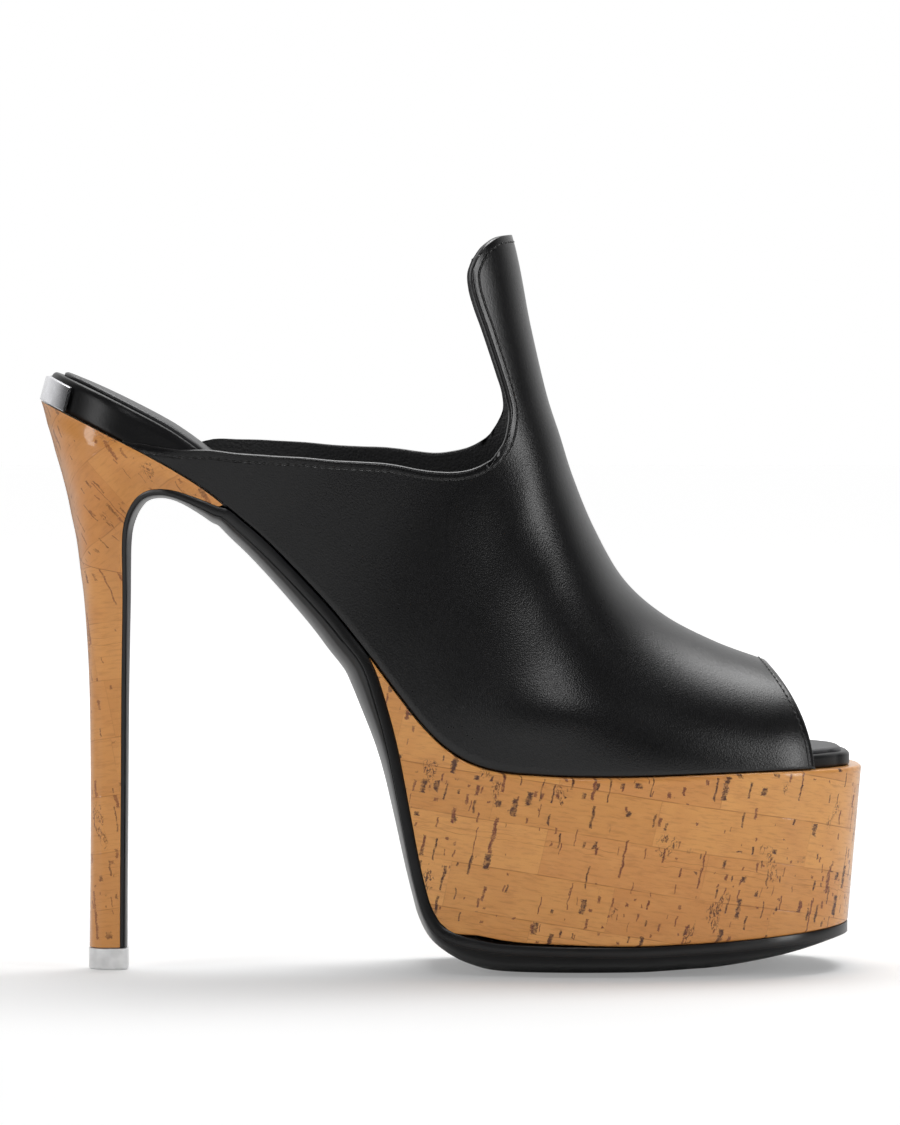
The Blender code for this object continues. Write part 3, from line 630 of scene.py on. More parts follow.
def heel_half_widths(share, front_width, side_width):
    """Half widths of a heel level at share of its depth, from front 0 to back 1."""
    top_x = at(HEEL[0][0]) + share * (at(HEEL[0][6]) - at(HEEL[0][0]))
    lateral, medial = plan(np.maximum(top_x, at(HEEL[0][6]) + 0.00003))
    ease = np.clip(share / 0.5, 0, 1)
    width = front_width + (side_width - front_width) * ease * ease * (3 - 2 * ease)
    halves = []
    for half, shift in ((lateral, TIP_SHIFT), (medial, -TIP_SHIFT)):
        full = float(np.max(plan(at(0.13))[0 if shift > 0 else 1]))
        halves.append(half / full * (TIP_WIDTH / 2 + width * (full - TIP_WIDTH / 2)) + shift * (1 - width))
    return halves


def sole_half_widths(x, index):
    """Half widths of the sole at its row index, which past the shank follow the heel's front."""
    lateral, medial = plan(x, PLATFORM_TAPER, front=at(1.0) - FRONT_TAPER)
    first = len(TREAD_LINE) + len(BACK_LINE) + len(SHANK_LINE)
    front = [row[5] for row in HEEL] + [0.0]
    width = smooth(np.arange(len(front)), front, index - first)
    heel_lateral, heel_medial = heel_half_widths(np.zeros(len(x)), width, width)
    share = np.clip((index - first + 3) / 3, 0, 1)
    return lateral + share * (heel_lateral - lateral), medial + share * (heel_medial - medial)


def heading(rows, index):
    """Side-view direction of the sole's inner line at row index, as its x and z share."""
    every = np.arange(len(rows))
    ahead = [smooth(every, rows[:, k], index + 0.05) for k in (0, 1)]
    behind = [smooth(every, rows[:, k], index - 0.05) for k in (0, 1)]
    dx, dz = ahead[0] - behind[0], ahead[1] - behind[1]
    size = np.hypot(dx, dz)
    return dx / size, dz / size


def inner_line(rows, start, end, clear):
    """Side-view points of the sole's inner line between two rows, moved off the sole by clear."""
    index = np.linspace(start, end, int(end - start) * 2 + 1)
    every = np.arange(len(rows))
    dx, dz = heading(rows, index)
    x = smooth(every, rows[:, 0], index) + dz * clear
    z = smooth(every, rows[:, 1], index) - dx * clear
    return np.stack([x, z], -1)


# Insole board, its sock and the plate around its back

def board_thickness(x):
    build = smooth(column(BOARD_BUILD, 0), column(BOARD_BUILD, 1), x / LENGTH + 0.5)
    return BOARD_TOE + build * (BOARD_SEAT - BOARD_TOE)


def wing_end_x():
    """Where the top edge of the wings leaves the side of the board."""
    return float(at(0.190))


def board_inset(x):
    """How far the board lies inside the bottom outline: covered by the upper ahead of the wing's end."""
    seat_inset = PLATE + GAP - PLATE_PROUD
    return np.where(x < wing_end_x() - GAP, seat_inset, RIM + WALL + 2 * GAP)


def board_stations(back, front, count):
    end = wing_end_x() - 1.5 * GAP
    x = back + stations(count) * (front - back)
    return np.sort(np.append(x, (end - 0.0002, end + 0.0002)))


def insole_widths(x, inset, extra, back, front):
    """Half widths of an outline between back and front: extra draws in its ends, inset only its sides."""
    halves = plan(x, extra, back=back + extra, front=front - extra)
    share = np.clip((x - back) / END_EASE, 0, 1) * np.clip((front - x) / END_EASE, 0, 1)
    return [half - inset * share for half in halves]


def seat_lean(x):
    """How far the board leans forward for each metre of height, which it does only at the seat."""
    return BOARD_LEAN * np.clip((at(0.25) - x) / (at(0.25) - at(0.15)), 0, 1)


def board_level(height, extra, count):
    """Outline of the board at a share of its thickness, drawn in by extra."""
    back = at(0.002) + PLATE + GAP - PLATE_PROUD
    front = at(1.0) - TOE_RIM
    x = board_stations(back + extra + END_ROOM, front - extra - END_ROOM, count)
    widths = insole_widths(x, board_inset(x), extra, back, front)
    rise = height * board_thickness(x)
    return outline_points(x + seat_lean(x) * rise, seat(x) + rise, *widths)


# From the part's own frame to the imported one

def frame_shift():
    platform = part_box("platform")
    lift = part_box("top_lift")
    x = platform[1].x - (at(1.0) - END_ROOM)
    y = (lift[0].y + lift[1].y) / 2 + TIP_SHIFT
    return Vector((float(x), y, lift[0].z))


SHIFT = frame_shift()


def sizes():
    return bpy.context.scene.mule_sizes


def colours():
    return bpy.context.scene.mule_colours


def place(name, mesh, materials, nodes, creased=True):
    """Puts a mesh into the scene as a piece on the shoe. A creased one keeps its steep edges crisp."""
    mesh.name = name
    for material in materials:
        mesh.materials.append(material)
    mesh.shade_smooth()
    if creased:
        mesh.set_sharp_from_angle(angle=math.radians(CREASE_ANGLE))
    piece = bpy.data.objects.new(name, mesh)
    bpy.context.scene.collection.objects.link(piece)
    piece.location = SHIFT
    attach(piece, "root")
    if nodes:
        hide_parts(*nodes)


def put_values(mesh, name, values):
    """Keeps a number or a vector for each vertex, for the materials to read."""
    values = np.asarray(values, np.float32)
    if values.ndim == 1:
        layer = mesh.attributes.new(name, "FLOAT", "POINT")
        layer.data.foreach_set("value", values)
    else:
        layer = mesh.attributes.new(name, "FLOAT_VECTOR", "POINT")
        layer.data.foreach_set("vector", values.ravel())


def vertex_array(mesh):
    points = np.empty(len(mesh.vertices) * 3)
    mesh.vertices.foreach_get("co", points)
    return points.reshape(-1, 3)


# Node trees of the finishes

class Finish:
    """Node tree of one finish, with short calls for the nodes it uses most."""

    def __init__(self, name, colour, roughness, **settings):
        self.material = bpy.data.materials.new(name)
        self.material.use_nodes = True
        self.nodes = self.material.node_tree.nodes
        self.links = self.material.node_tree.links
        self.shader = self.nodes["Principled BSDF"]
        self.base(colour)
        self.rough(roughness)
        for key, value in settings.items():
            self.set(value, self.shader.inputs[key.replace("_", " ")])

    def set(self, value, socket):
        if isinstance(value, bpy.types.NodeSocket):
            self.links.new(value, socket)
        elif socket.type == "RGBA" and len(value) == 3:
            socket.default_value = (*value, 1.0)
        else:
            socket.default_value = value

    def node(self, kind, **settings):
        node = self.nodes.new("ShaderNode" + kind)
        for key, value in settings.items():
            setattr(node, key, value)
        return node

    def base(self, value):
        self.set(value, self.shader.inputs["Base Color"])

    def rough(self, value):
        self.set(value, self.shader.inputs["Roughness"])

    def math(self, operation, *values):
        node = self.node("Math", operation=operation)
        for value, socket in zip(values, node.inputs):
            self.set(value, socket)
        return node.outputs[0]

    add = partialmethod(math, "ADD")
    sub = partialmethod(math, "SUBTRACT")
    mul = partialmethod(math, "MULTIPLY")
    div = partialmethod(math, "DIVIDE")
    mul_add = partialmethod(math, "MULTIPLY_ADD")
    most = partialmethod(math, "MAXIMUM")
    least = partialmethod(math, "MINIMUM")
    absolute = partialmethod(math, "ABSOLUTE")
    floor = partialmethod(math, "FLOOR")
    fract = partialmethod(math, "FRACT")

    def vector(self, operation, *values):
        node = self.node("VectorMath", operation=operation)
        for value, socket in zip(values, node.inputs):
            self.set(value, socket)
        return node.outputs[0]

    def combine(self, *values):
        node = self.node("CombineXYZ")
        for value, socket in zip(values, node.inputs):
            self.set(value, socket)
        return node.outputs[0]

    def split(self, vector):
        node = self.node("SeparateXYZ")
        self.set(vector, node.inputs[0])
        return node.outputs[0], node.outputs[1], node.outputs[2]

    def turn(self, vector, degrees):
        node = self.node("VectorRotate", rotation_type="Z_AXIS")
        self.set(vector, node.inputs["Vector"])
        self.set(math.radians(degrees), node.inputs["Angle"])
        return node.outputs[0]

    def object_place(self):
        return self.node("TexCoord").outputs["Object"]

    def value(self, name, output="Fac"):
        return self.node("Attribute", attribute_name=name).outputs[output]

    def noise(self, vector, scale, detail=2.0, roughness=0.5, distortion=0.0):
        node = self.node("TexNoise")
        self.set(vector, node.inputs["Vector"])
        settings = {"Scale": scale, "Detail": detail, "Roughness": roughness, "Distortion": distortion}
        for name, setting in settings.items():
            node.inputs[name].default_value = setting
        return node.outputs["Fac"]

    def cells(self, vector, scale):
        node = self.node("TexVoronoi")
        self.set(vector, node.inputs["Vector"])
        node.inputs["Scale"].default_value = scale
        return node.outputs["Distance"]

    def chance(self, *values):
        """Three even random numbers that depend on the values."""
        node = self.node("TexWhiteNoise", noise_dimensions="3D")
        self.links.new(self.combine(*values), node.inputs["Vector"])
        return self.split(node.outputs["Color"])

    def ramp(self, value, low, high, to_low=0.0, to_high=1.0):
        """Soft step of value from low to high."""
        node = self.node("MapRange", interpolation_type="SMOOTHSTEP")
        self.set(value, node.inputs["Value"])
        for limit, name in zip((low, high, to_low, to_high), ("From Min", "From Max", "To Min", "To Max")):
            node.inputs[name].default_value = limit
        return node.outputs["Result"]

    def blend(self, kind, first_socket, output, share, first, second):
        """Mix node of one kind of value, whose sockets for it stand at fixed places."""
        node = self.node("Mix", data_type=kind)
        for value, place_in in ((share, 0), (first, first_socket), (second, first_socket + 1)):
            self.set(value, node.inputs[place_in])
        return node.outputs[output]

    mix = partialmethod(blend, "RGBA", 6, 2)
    between = partialmethod(blend, "FLOAT", 2, 0)
    either = partialmethod(blend, "VECTOR", 4, 1)

    def line(self, value, middle, width):
        """One on a thin line where value is near middle, zero beyond width."""
        away = self.absolute(self.sub(value, middle))
        return self.ramp(away, 0.0, width, 1.0, 0.0)

    def bump(self, height, depth, strength=1.0):
        """Relief whose height of 1 stands depth metres proud."""
        node = self.node("Bump")
        node.inputs["Strength"].default_value = strength
        node.inputs["Distance"].default_value = depth
        self.links.new(height, node.inputs["Height"])
        self.links.new(node.outputs["Normal"], self.shader.inputs["Normal"])
        self.links.new(node.outputs["Normal"], self.shader.inputs["Coat Normal"])


def calf_finish():
    """Black satin calf: fine pebble, a smoother folded edge and the sunk stitch line."""
    shade = Finish("calf_black", colours().calf, 0.4)
    place_on = shade.object_place()
    edge = shade.value("edge")
    pebble = shade.cells(place_on, 2300)
    pore = shade.noise(place_on, 5200, 3.0, 0.6)
    broad = shade.noise(place_on, 42, 3.0)
    fine = shade.noise(place_on, 900, 2.0)
    near = shade.ramp(edge, 0.0003, 0.0024)
    grain = shade.mul_add(pebble, 0.75, shade.mul(pore, 0.5))
    grain = shade.mul(grain, shade.between(near, 0.35, 1.0))
    sunk = shade.line(edge, sizes().stitch_inset, 0.00042)
    swell = shade.ramp(edge, 0.0, 0.0011)
    height = shade.add(grain, shade.mul(sunk, -3.0))
    height = shade.add(height, shade.mul(swell, 0.8))
    shade.bump(height, 0.00006, 0.6)
    rough = shade.mul_add(broad, 0.08, 0.22)
    rough = shade.mul_add(fine, 0.08, rough)
    rough = shade.between(near, 0.24, rough)
    shade.rough(rough)
    worn = shade.mix(shade.ramp(edge, 0.0001, 0.0009, 0.5, 0.0), colours().calf, colours().calf_edge)
    shade.base(shade.mix(shade.ramp(broad, 0.3, 0.7, 0.0, 0.45), worn, colours().calf_light))
    return shade.material


def lining_finish():
    """Black pebbled lining leather, its raised grain painted lighter as a painted highlight."""
    shade = Finish("lining_black", colours().lining, 0.5)
    place_on = shade.object_place()
    pebble = shade.cells(place_on, 1500)
    fine = shade.noise(place_on, 3600, 3.0, 0.6)
    broad = shade.noise(place_on, 60, 2.0)
    shade.bump(shade.mul_add(fine, 0.4, pebble), 0.0001, 0.7)
    shade.rough(shade.mul_add(broad, 0.15, 0.42))
    # Painted highlight: the raised pebble grain is painted in a lighter colour.
    painted_grain_highlight = shade.mix(shade.ramp(pebble, 0.1, 0.6, 0.0, 0.6), colours().lining, colours().lining_highlight_and_sock_cloud)
    shade.base(painted_grain_highlight)
    return shade.material


def board_finish():
    """Smooth black leather drawn over the insole board."""
    shade = Finish("board_leather", colours().board, 0.36, Specular_IOR_Level=0.25)
    place_on = shade.object_place()
    pore = shade.noise(place_on, 2600, 3.0, 0.55)
    broad = shade.noise(place_on, 50, 2.0)
    pebble = shade.cells(place_on, 2600)
    shade.bump(shade.mul_add(pore, 0.5, pebble), 0.00004, 0.5)
    shade.rough(shade.mul_add(broad, 0.10, 0.30))
    shade.base(shade.mix(shade.ramp(broad, 0.35, 0.7, 0.0, 0.5), colours().board, colours().calf_light))
    return shade.material


def sock_finish():
    """Soft dark leather of the insole's top, with a pressed edge."""
    shade = Finish("sock_leather", colours().sock, 0.45)
    place_on = shade.object_place()
    edge = shade.value("edge")
    pebble = shade.cells(place_on, 1900)
    pore = shade.noise(place_on, 4200, 3.0, 0.6)
    broad = shade.noise(place_on, 45, 3.0)
    sunk = shade.line(edge, 0.0018, 0.0005)
    height = shade.mul_add(pore, 0.4, pebble)
    height = shade.add(height, shade.mul(sunk, -2.0))
    shade.bump(height, 0.00006, 0.6)
    shade.rough(shade.mul_add(broad, 0.14, 0.36))
    shade.base(shade.mix(shade.ramp(broad, 0.3, 0.75, 0.0, 0.6), colours().sock, colours().lining_highlight_and_sock_cloud))
    return shade.material


def sole_finish():
    """Black polished sole: a satin edge with fine trimming lines."""
    shade = Finish("sole_black", colours().sole, 0.4)
    place_on = shade.object_place()
    x, y, z = shade.split(place_on)
    trimmed = shade.noise(shade.combine(x, y, shade.mul(z, 9.0)), 700, 3.0, 0.6)
    scuff = shade.noise(shade.vector("MULTIPLY", place_on, (0.3, 1.0, 1.0)), 1400, 3.0, 0.7)
    broad = shade.noise(place_on, 55, 3.0)
    shade.bump(shade.mul_add(scuff, 0.5, trimmed), 0.00003, 0.5)
    shade.rough(shade.mul_add(broad, 0.12, 0.24))
    shade.base(shade.mix(shade.ramp(broad, 0.35, 0.7, 0.0, 0.5), colours().sole, colours().sole_light))
    return shade.material


def lift_finish():
    """Pale hard rubber of the top lift, faintly moulded."""
    shade = Finish("lift_white", colours().lift, 0.4)
    place_on = shade.object_place()
    fine = shade.noise(place_on, 2500, 3.0, 0.6)
    broad = shade.noise(place_on, 260, 2.0)
    shade.bump(fine, 0.00003, 0.5)
    shade.rough(shade.mul_add(broad, 0.2, 0.32))
    grey = tuple(0.82 * c for c in colours().lift)
    shade.base(shade.mix(shade.ramp(broad, 0.3, 0.7), colours().lift, grey))
    return shade.material


def plate_finish():
    """Polished pale metal with faint brushing."""
    shade = Finish("plate_steel", colours().plate, 0.2, Metallic=1.0)
    place_on = shade.object_place()
    x, y, z = shade.split(place_on)
    brushed = shade.noise(shade.combine(x, y, shade.mul(z, 14.0)), 420, 3.0, 0.7)
    cloud = shade.noise(place_on, 190, 2.0)
    shade.bump(brushed, 0.00001, 0.35)
    rough = shade.mul_add(brushed, 0.10, 0.14)
    shade.rough(shade.mul_add(cloud, 0.06, rough))
    dull = tuple(0.86 * c for c in colours().plate)
    shade.base(shade.mix(shade.ramp(cloud, 0.3, 0.7), colours().plate, dull))
    return shade.material


def thread_finish():
    """Waxed black thread."""
    shade = Finish("thread_black", colours().thread, 0.45)
    place_on = shade.object_place()
    twist = shade.noise(place_on, 5200, 2.0)
    shade.bump(twist, 0.00005, 0.8)
    shade.base(shade.mix(shade.ramp(twist, 0.3, 0.7), colours().thread, colours().calf_edge))
    return shade.material


# Half length of the longest bark mark as a share of its cell's height
LONGEST_MARK = 0.46

# Length of one piece of cork veneer in its strip
VENEER_RUN = 0.043


def cork_flecks(shade, u, v, cell, thick, share, seed, busy):
    """Mask of upright bark marks, at most one in each cell of width by height."""
    width, height = cell
    u_cell = shade.add(shade.div(u, width), seed * 3.7)
    column = shade.floor(u_cell)
    lift = shade.chance(column, seed, 0.5)[0]
    v_cell = shade.mul_add(lift, 5.0, shade.div(v, height))
    row = shade.floor(v_cell)
    first, second, third = shade.chance(column, row, seed)
    fourth = shade.chance(row, column, seed + 9.1)[0]
    x = shade.mul(shade.sub(shade.fract(u_cell), 0.5), width)
    y = shade.mul(shade.sub(shade.fract(v_cell), 0.5), height)
    where = shade.combine(u, v, seed)
    sway = shade.noise(where, 420, 1.0)
    rough = shade.noise(where, 2400, 3.0, 0.7)
    middle = shade.mul(shade.sub(first, 0.5), 0.45 * width)
    x = shade.sub(x, middle)
    x = shade.mul_add(shade.sub(sway, 0.5), 0.0011, x)
    half = shade.mul_add(shade.mul(third, third), thick * 0.75, thick * 0.25)
    half = shade.mul(half, shade.mul_add(rough, 3.0, -0.55))
    across = shade.sub(half, shade.absolute(x))
    across = shade.ramp(across, -0.00004, 0.00009)
    length = shade.mul_add(shade.mul(second, second), height * (LONGEST_MARK - 0.08), height * 0.08)
    up = shade.sub(length, shade.absolute(y))
    up = shade.mul_add(shade.sub(rough, 0.5), 0.0012, up)
    up = shade.ramp(up, 0.0, 0.00018)
    crowd = shade.noise(where, 38, 1.0)
    limit = shade.mul(shade.ramp(crowd, 0.38, 0.60, 0.2, 1.9), share)
    limit = shade.mul(limit, busy)
    there = shade.math("LESS_THAN", fourth, limit)
    return shade.mul(shade.mul(across, up), there)


def cork_pattern(shade, flat, strip, seed):
    """Colour, mark and relief of cork veneer laid in strips along the first axis of flat."""
    tint = colours()
    u, v, _ = shade.split(flat)
    soft = shade.noise(shade.combine(u, v, seed), 26, 1.0)
    v = shade.mul_add(shade.sub(soft, 0.5), 0.0016, v)
    band = shade.add(shade.div(v, strip), seed)
    row = shade.floor(band)
    within = shade.fract(band)
    slide, calm, _ = shade.chance(row, seed, 2.0)
    run = shade.mul_add(slide, 6.0, shade.div(u, VENEER_RUN))
    piece = shade.floor(run)
    butt = shade.fract(run)
    light, warm, vary = shade.chance(row, piece, seed)
    grain_place = shade.combine(shade.mul(u, 0.16), v, shade.mul(light, 0.4))
    grain = shade.noise(grain_place, 1500, 4.0, 0.62)
    wave = shade.noise(shade.combine(shade.mul(u, 0.35), v, vary), 420, 2.0, 0.5, 0.6)
    cloud = shade.noise(shade.combine(u, v, light), 90, 3.0)
    dust = shade.noise(shade.combine(u, v, 3.0), 3800, 2.0, 0.6)
    base = shade.mix(light, tint.cork_light, tint.cork_mid)
    base = shade.mix(shade.ramp(warm, 0.55, 1.0, 0.0, 0.55), base, tint.cork_warm)
    base = shade.mix(shade.ramp(cloud, 0.4, 0.75, 0.0, 0.4), base, tint.cork_warm)
    base = shade.mix(shade.ramp(grain, 0.45, 0.75, 0.0, 0.32), base, tint.cork_brown)
    base = shade.mix(shade.ramp(wave, 0.52, 0.72, 0.0, 0.22), base, tint.cork_light)
    base = shade.mix(shade.ramp(dust, 0.60, 0.74, 0.0, 0.35), base, tint.cork_brown)
    broken = shade.ramp(shade.noise(shade.combine(u, v, 7.0), 130, 2.0), 0.35, 0.6, 0.15, 0.85)
    near_seam = shade.least(within, shade.sub(1.0, within))
    seam = shade.mul(shade.ramp(near_seam, 0.0, 0.00022 / strip, 1.0, 0.0), broken)
    near_butt = shade.least(butt, shade.sub(1.0, butt))
    joint = shade.mul(shade.ramp(near_butt, 0.0, 0.00018 / VENEER_RUN, 1.0, 0.0), broken)
    joint = shade.mul(joint, 0.5)
    shiver = shade.noise(shade.combine(u, vary, seed), 240, 2.0)
    waver = shade.mul_add(shade.sub(shiver, 0.5), 0.0016 / strip, within)
    year = shade.add(shade.line(waver, 0.62, 0.00016 / strip), shade.line(waver, 0.74, 0.00014 / strip))
    year = shade.mul(shade.mul(year, broken), shade.math("GREATER_THAN", calm, 0.55))
    busy = shade.mul_add(warm, 1.1, 0.45)
    marks = cork_flecks(shade, u, v, (0.0056, 0.0150), 0.00060, 0.40, seed + 1.0, busy)
    marks_b = cork_flecks(shade, u, v, (0.0034, 0.0076), 0.00085, 0.34, seed + 2.0, busy)
    marks_c = cork_flecks(shade, u, v, (0.0019, 0.0036), 0.00050, 0.17, seed + 5.0, busy)
    blot_place = shade.combine(u, shade.mul(v, 0.55), seed)
    knot = shade.noise(blot_place, 560, 3.0, 0.6)
    ring = shade.ramp(shade.absolute(shade.sub(knot, 0.5)), 0.012, 0.035, 1.0, 0.0)
    blot = shade.most(shade.ramp(knot, 0.60, 0.64), ring)
    blot = shade.mul(blot, shade.ramp(shade.noise(blot_place, 120, 1.0), 0.66, 0.70))
    red = shade.most(marks, shade.mul(marks_c, 0.9))
    dark = shade.most(marks_b, blot)
    fade = shade.noise(shade.combine(u, v, 11.0), 900, 3.0, 0.6)
    red = shade.mul(red, shade.ramp(fade, 0.25, 0.6, 0.35, 0.95))
    dark = shade.mul(dark, shade.ramp(fade, 0.3, 0.6, 0.3, 0.95))
    lines = shade.most(seam, shade.most(joint, shade.mul(year, 0.75)))
    base = shade.mix(shade.mul(lines, 0.75), base, tint.cork_brown)
    base = shade.mix(red, base, tint.cork_mark)
    base = shade.mix(dark, base, tint.cork_dark)
    sunk = shade.most(lines, shade.most(red, dark))
    return base, sunk, grain


def cork_finish(name, gloss, strip, slopes, parted=None):
    """Lacquered cork veneer in strips, whose slopes in degrees hold below and above the height parted."""
    lacquer = {"Coat_Weight": 0.6, "Coat_Roughness": 0.10, "Specular_IOR_Level": 0.2}
    shade = Finish(name, colours().cork_mid, gloss, **lacquer)
    wrap = shade.value("wrap", "Vector")
    flat = shade.turn(wrap, slopes[0])
    if parted is not None:
        u, v, _ = shade.split(wrap)
        level = shade.mul_add(u, -0.22, v)
        upper = shade.math("GREATER_THAN", level, parted)
        higher = shade.vector("ADD", shade.turn(wrap, slopes[1]), (0.31, 0.173, 0.0))
        flat = shade.either(upper, flat, higher)
        border = shade.line(level, parted, 0.0002)
    base, sunk, grain = cork_pattern(shade, flat, strip, 4.0)
    if parted is not None:
        base = shade.mix(border, base, colours().cork_brown)
        base = shade.mix(0.35, base, colours().cork_warm)
    shade.base(base)
    relief = shade.mul_add(grain, 0.25, shade.mul(sunk, -0.8))
    shade.bump(relief, 0.00006, 0.5)
    rough = shade.mul_add(sunk, 0.18, gloss)
    shade.rough(shade.mul_add(grain, 0.12, rough))
    return shade.material


# Meshes of the pieces

def mesh_of(name, points, faces, material_index=None):
    mesh = bpy.data.meshes.new(name)
    mesh.from_pydata([tuple(p) for p in points], [], [tuple(f) for f in faces])
    if material_index is not None:
        mesh.polygons.foreach_set("material_index", np.asarray(material_index, np.int32))
    mesh.update()
    return mesh


def stacked_mesh(name, levels):
    """Closed mesh through outlines that lie one above the other."""
    levels = np.asarray(levels)
    count_levels, _, count, _ = levels.shape
    last = count - 1

    def vertex(level, side, i):
        return (level * 2 + side) * count + i

    def low_cap(level):
        corners = [((0, i), (1, i), (1, i + 1), (0, i + 1)) for i in range(last)]
        return [[vertex(level, *corner) for corner in four] for four in corners]

    faces = low_cap(0) + [face[::-1] for face in low_cap(count_levels - 1)]
    for low in range(count_levels - 1):
        steps = []
        for i in range(last):
            steps += [((0, i), (0, i + 1)), ((1, i + 1), (1, i))]
        for a, b in steps + [((0, last), (1, last)), ((1, 0), (0, 0))]:
            faces.append((vertex(low, *a), vertex(low, *b), vertex(low + 1, *b), vertex(low + 1, *a)))
    return mesh_of(name, levels.reshape(-1, 3), faces)


def wrap_values(levels):
    """Run around each outline, both ways from its front end, and height, for each vertex."""
    levels = np.asarray(levels)
    step = np.linalg.norm(np.diff(levels[..., :2], axis=2), axis=-1)
    run = np.concatenate((np.zeros(step.shape[:2] + (1,)), np.cumsum(step, axis=2)), axis=2)
    total = run[:, :, -1:]
    around = np.stack([run[:, 0] - total[:, 0], total[:, 1] - run[:, 1]], axis=1)
    return np.stack([around, levels[..., 2], np.zeros_like(around)], axis=-1).reshape(-1, 3)


def between_levels(levels, steps):
    """More levels on the smooth curve through each point of the given ones."""
    levels = np.asarray(levels)
    count = len(levels)
    k = np.linspace(0, count - 1, (count - 1) * steps + 1)
    i = np.clip(k.astype(int), 0, count - 2)
    t = (k - i)[:, None, None, None]
    rate = np.diff(levels, axis=0)
    slope = np.empty_like(levels)
    slope[1:-1] = 0.5 * (rate[1:] + rate[:-1])
    slope[0], slope[-1] = rate[0], rate[-1]
    return (
        (2 * t**3 - 3 * t**2 + 1) * levels[i] + (t**3 - 2 * t**2 + t) * slope[i]
        + (3 * t**2 - 2 * t**3) * levels[i + 1] + (t**3 - t**2) * slope[i + 1]
    )


def welded_sheet(grids):
    """Points and faces of the upper's outside, with the four grids joined and facing out."""
    bm = bmesh.new()
    for row, side in grids.values():
        verts = [[bm.verts.new(p) for p in line] for line in skin(row, side)]
        for a, b in zip(verts, verts[1:]):
            for i in range(len(a) - 1):
                bm.faces.new((a[i], a[i + 1], b[i + 1], b[i]))
    bmesh.ops.remove_doubles(bm, verts=bm.verts, dist=WELD)
    bmesh.ops.recalc_face_normals(bm, faces=bm.faces)
    bm.normal_update()
    foremost = max(bm.verts, key=lambda v: v.co.x)
    if foremost.normal.x < 0:
        bmesh.ops.reverse_faces(bm, faces=bm.faces)
        bm.normal_update()
    bm.verts.ensure_lookup_table()
    return bm


def edge_line(grids):
    """Free edge of the upper from the lateral wing's end over the tongue to the medial wing's end."""
    lateral = skin(*grids["lateral"])[:, -1]
    medial = skin(*grids["medial"])[:, -1]
    tongue = skin(*grids["tongue"])
    parts = [lateral[::-1], tongue[1:, 0], tongue[-1, 1:], tongue[::-1, -1][1:], medial[1:]]
    return np.concatenate(parts)


def distance_to(points, line):
    """Distance of each point to a fine line of points."""
    tree = KDTree(len(line))
    for i, p in enumerate(line):
        tree.insert(p, i)
    tree.balance()
    return np.array([tree.find(p)[2] for p in points])


def resample(line, pitch):
    """Points at even runs along a line."""
    run = run_of(line)
    count = max(2, int(run[-1] / pitch))
    at_run = np.linspace(0, run[-1], count + 1)
    return np.stack([np.interp(at_run, run, line[:, k]) for k in range(3)], -1)


def rim_draw(bm, fold):
    """Free edges as pairs of vertices, and for each vertex on them its way in and the room for the fold."""
    loops = [edge.link_loops[0] for edge in bm.edges if len(edge.link_faces) == 1]
    rim_edges = [(loop.vert.index, loop.link_loop_next.vert.index) for loop in loops]
    follow = dict(rim_edges)
    lead = {b: a for a, b in rim_edges}
    draw = np.zeros((len(bm.verts), 3))
    room = np.zeros(len(bm.verts))
    for i in follow:
        vert = bm.verts[i]
        inward = np.zeros(3)
        for face in vert.link_faces:
            inward += np.array(face.calc_center_median()) - np.array(vert.co)
        tangent = np.array(bm.verts[follow[i]].co) - np.array(bm.verts[lead[i]].co)
        tangent /= np.linalg.norm(tangent)
        for way in (tangent, np.array(vert.normal)):
            inward -= way * inward.dot(way)
        draw[i] = inward / max(np.linalg.norm(inward), 1e-9)
        spans = [edge.calc_length() for edge in vert.link_edges if len(edge.link_faces) == 2]
        room[i] = min(fold, 0.4 * min(spans)) if spans else 0.0
    return rim_edges, draw, room


def upper_shell(wall, fold):
    """Upper with its real wall, a rounded rim and the distance of each vertex to its free edge."""
    counts = ((100, 90, 28, 70, 61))
    grids = upper_grids(*counts)
    bm = welded_sheet(grids)
    co = np.array([v.co for v in bm.verts])
    normal = np.array([v.normal for v in bm.verts])
    faces = [[v.index for v in f.verts] for f in bm.faces]
    total = len(co)
    rim_edges, draw, room = rim_draw(bm, fold)
    bm.free()
    outer = co + draw * room[:, None]
    inner = co - normal * wall + draw * room[:, None]
    points = [outer, inner]
    made = faces + [[i + total for i in reversed(f)] for f in faces]
    kinds = [0] * len(faces) + [1] * len(faces)
    rim = sorted(a for a, _ in rim_edges)
    place_in = {v: k for k, v in enumerate(rim)}
    steps = 6
    for step in range(1, steps):
        turn = math.pi * step / steps
        middle = (outer[rim] + inner[rim]) / 2
        out = draw[rim] * (room[rim] * math.sin(turn))[:, None]
        points.append(middle + normal[rim] * (wall / 2 * math.cos(turn)) - out)

    def on_ring(vertex, step):
        if step == 0:
            return vertex
        if step == steps:
            return vertex + total
        return 2 * total + (step - 1) * len(rim) + place_in[vertex]

    for a, b in rim_edges:
        for step in range(steps):
            made.append((on_ring(b, step), on_ring(a, step), on_ring(a, step + 1), on_ring(b, step + 1)))
            kinds.append(0 if step < steps - 1 else 1)
    points = np.concatenate(points)
    mesh = mesh_of("upper", points, made, kinds)
    free = [resample(line, 0.0004) for line in (edge_line(grids), skin(*grids["vamp"])[0])]
    put_values(mesh, "edge", distance_to(points, np.concatenate(free)))
    return mesh


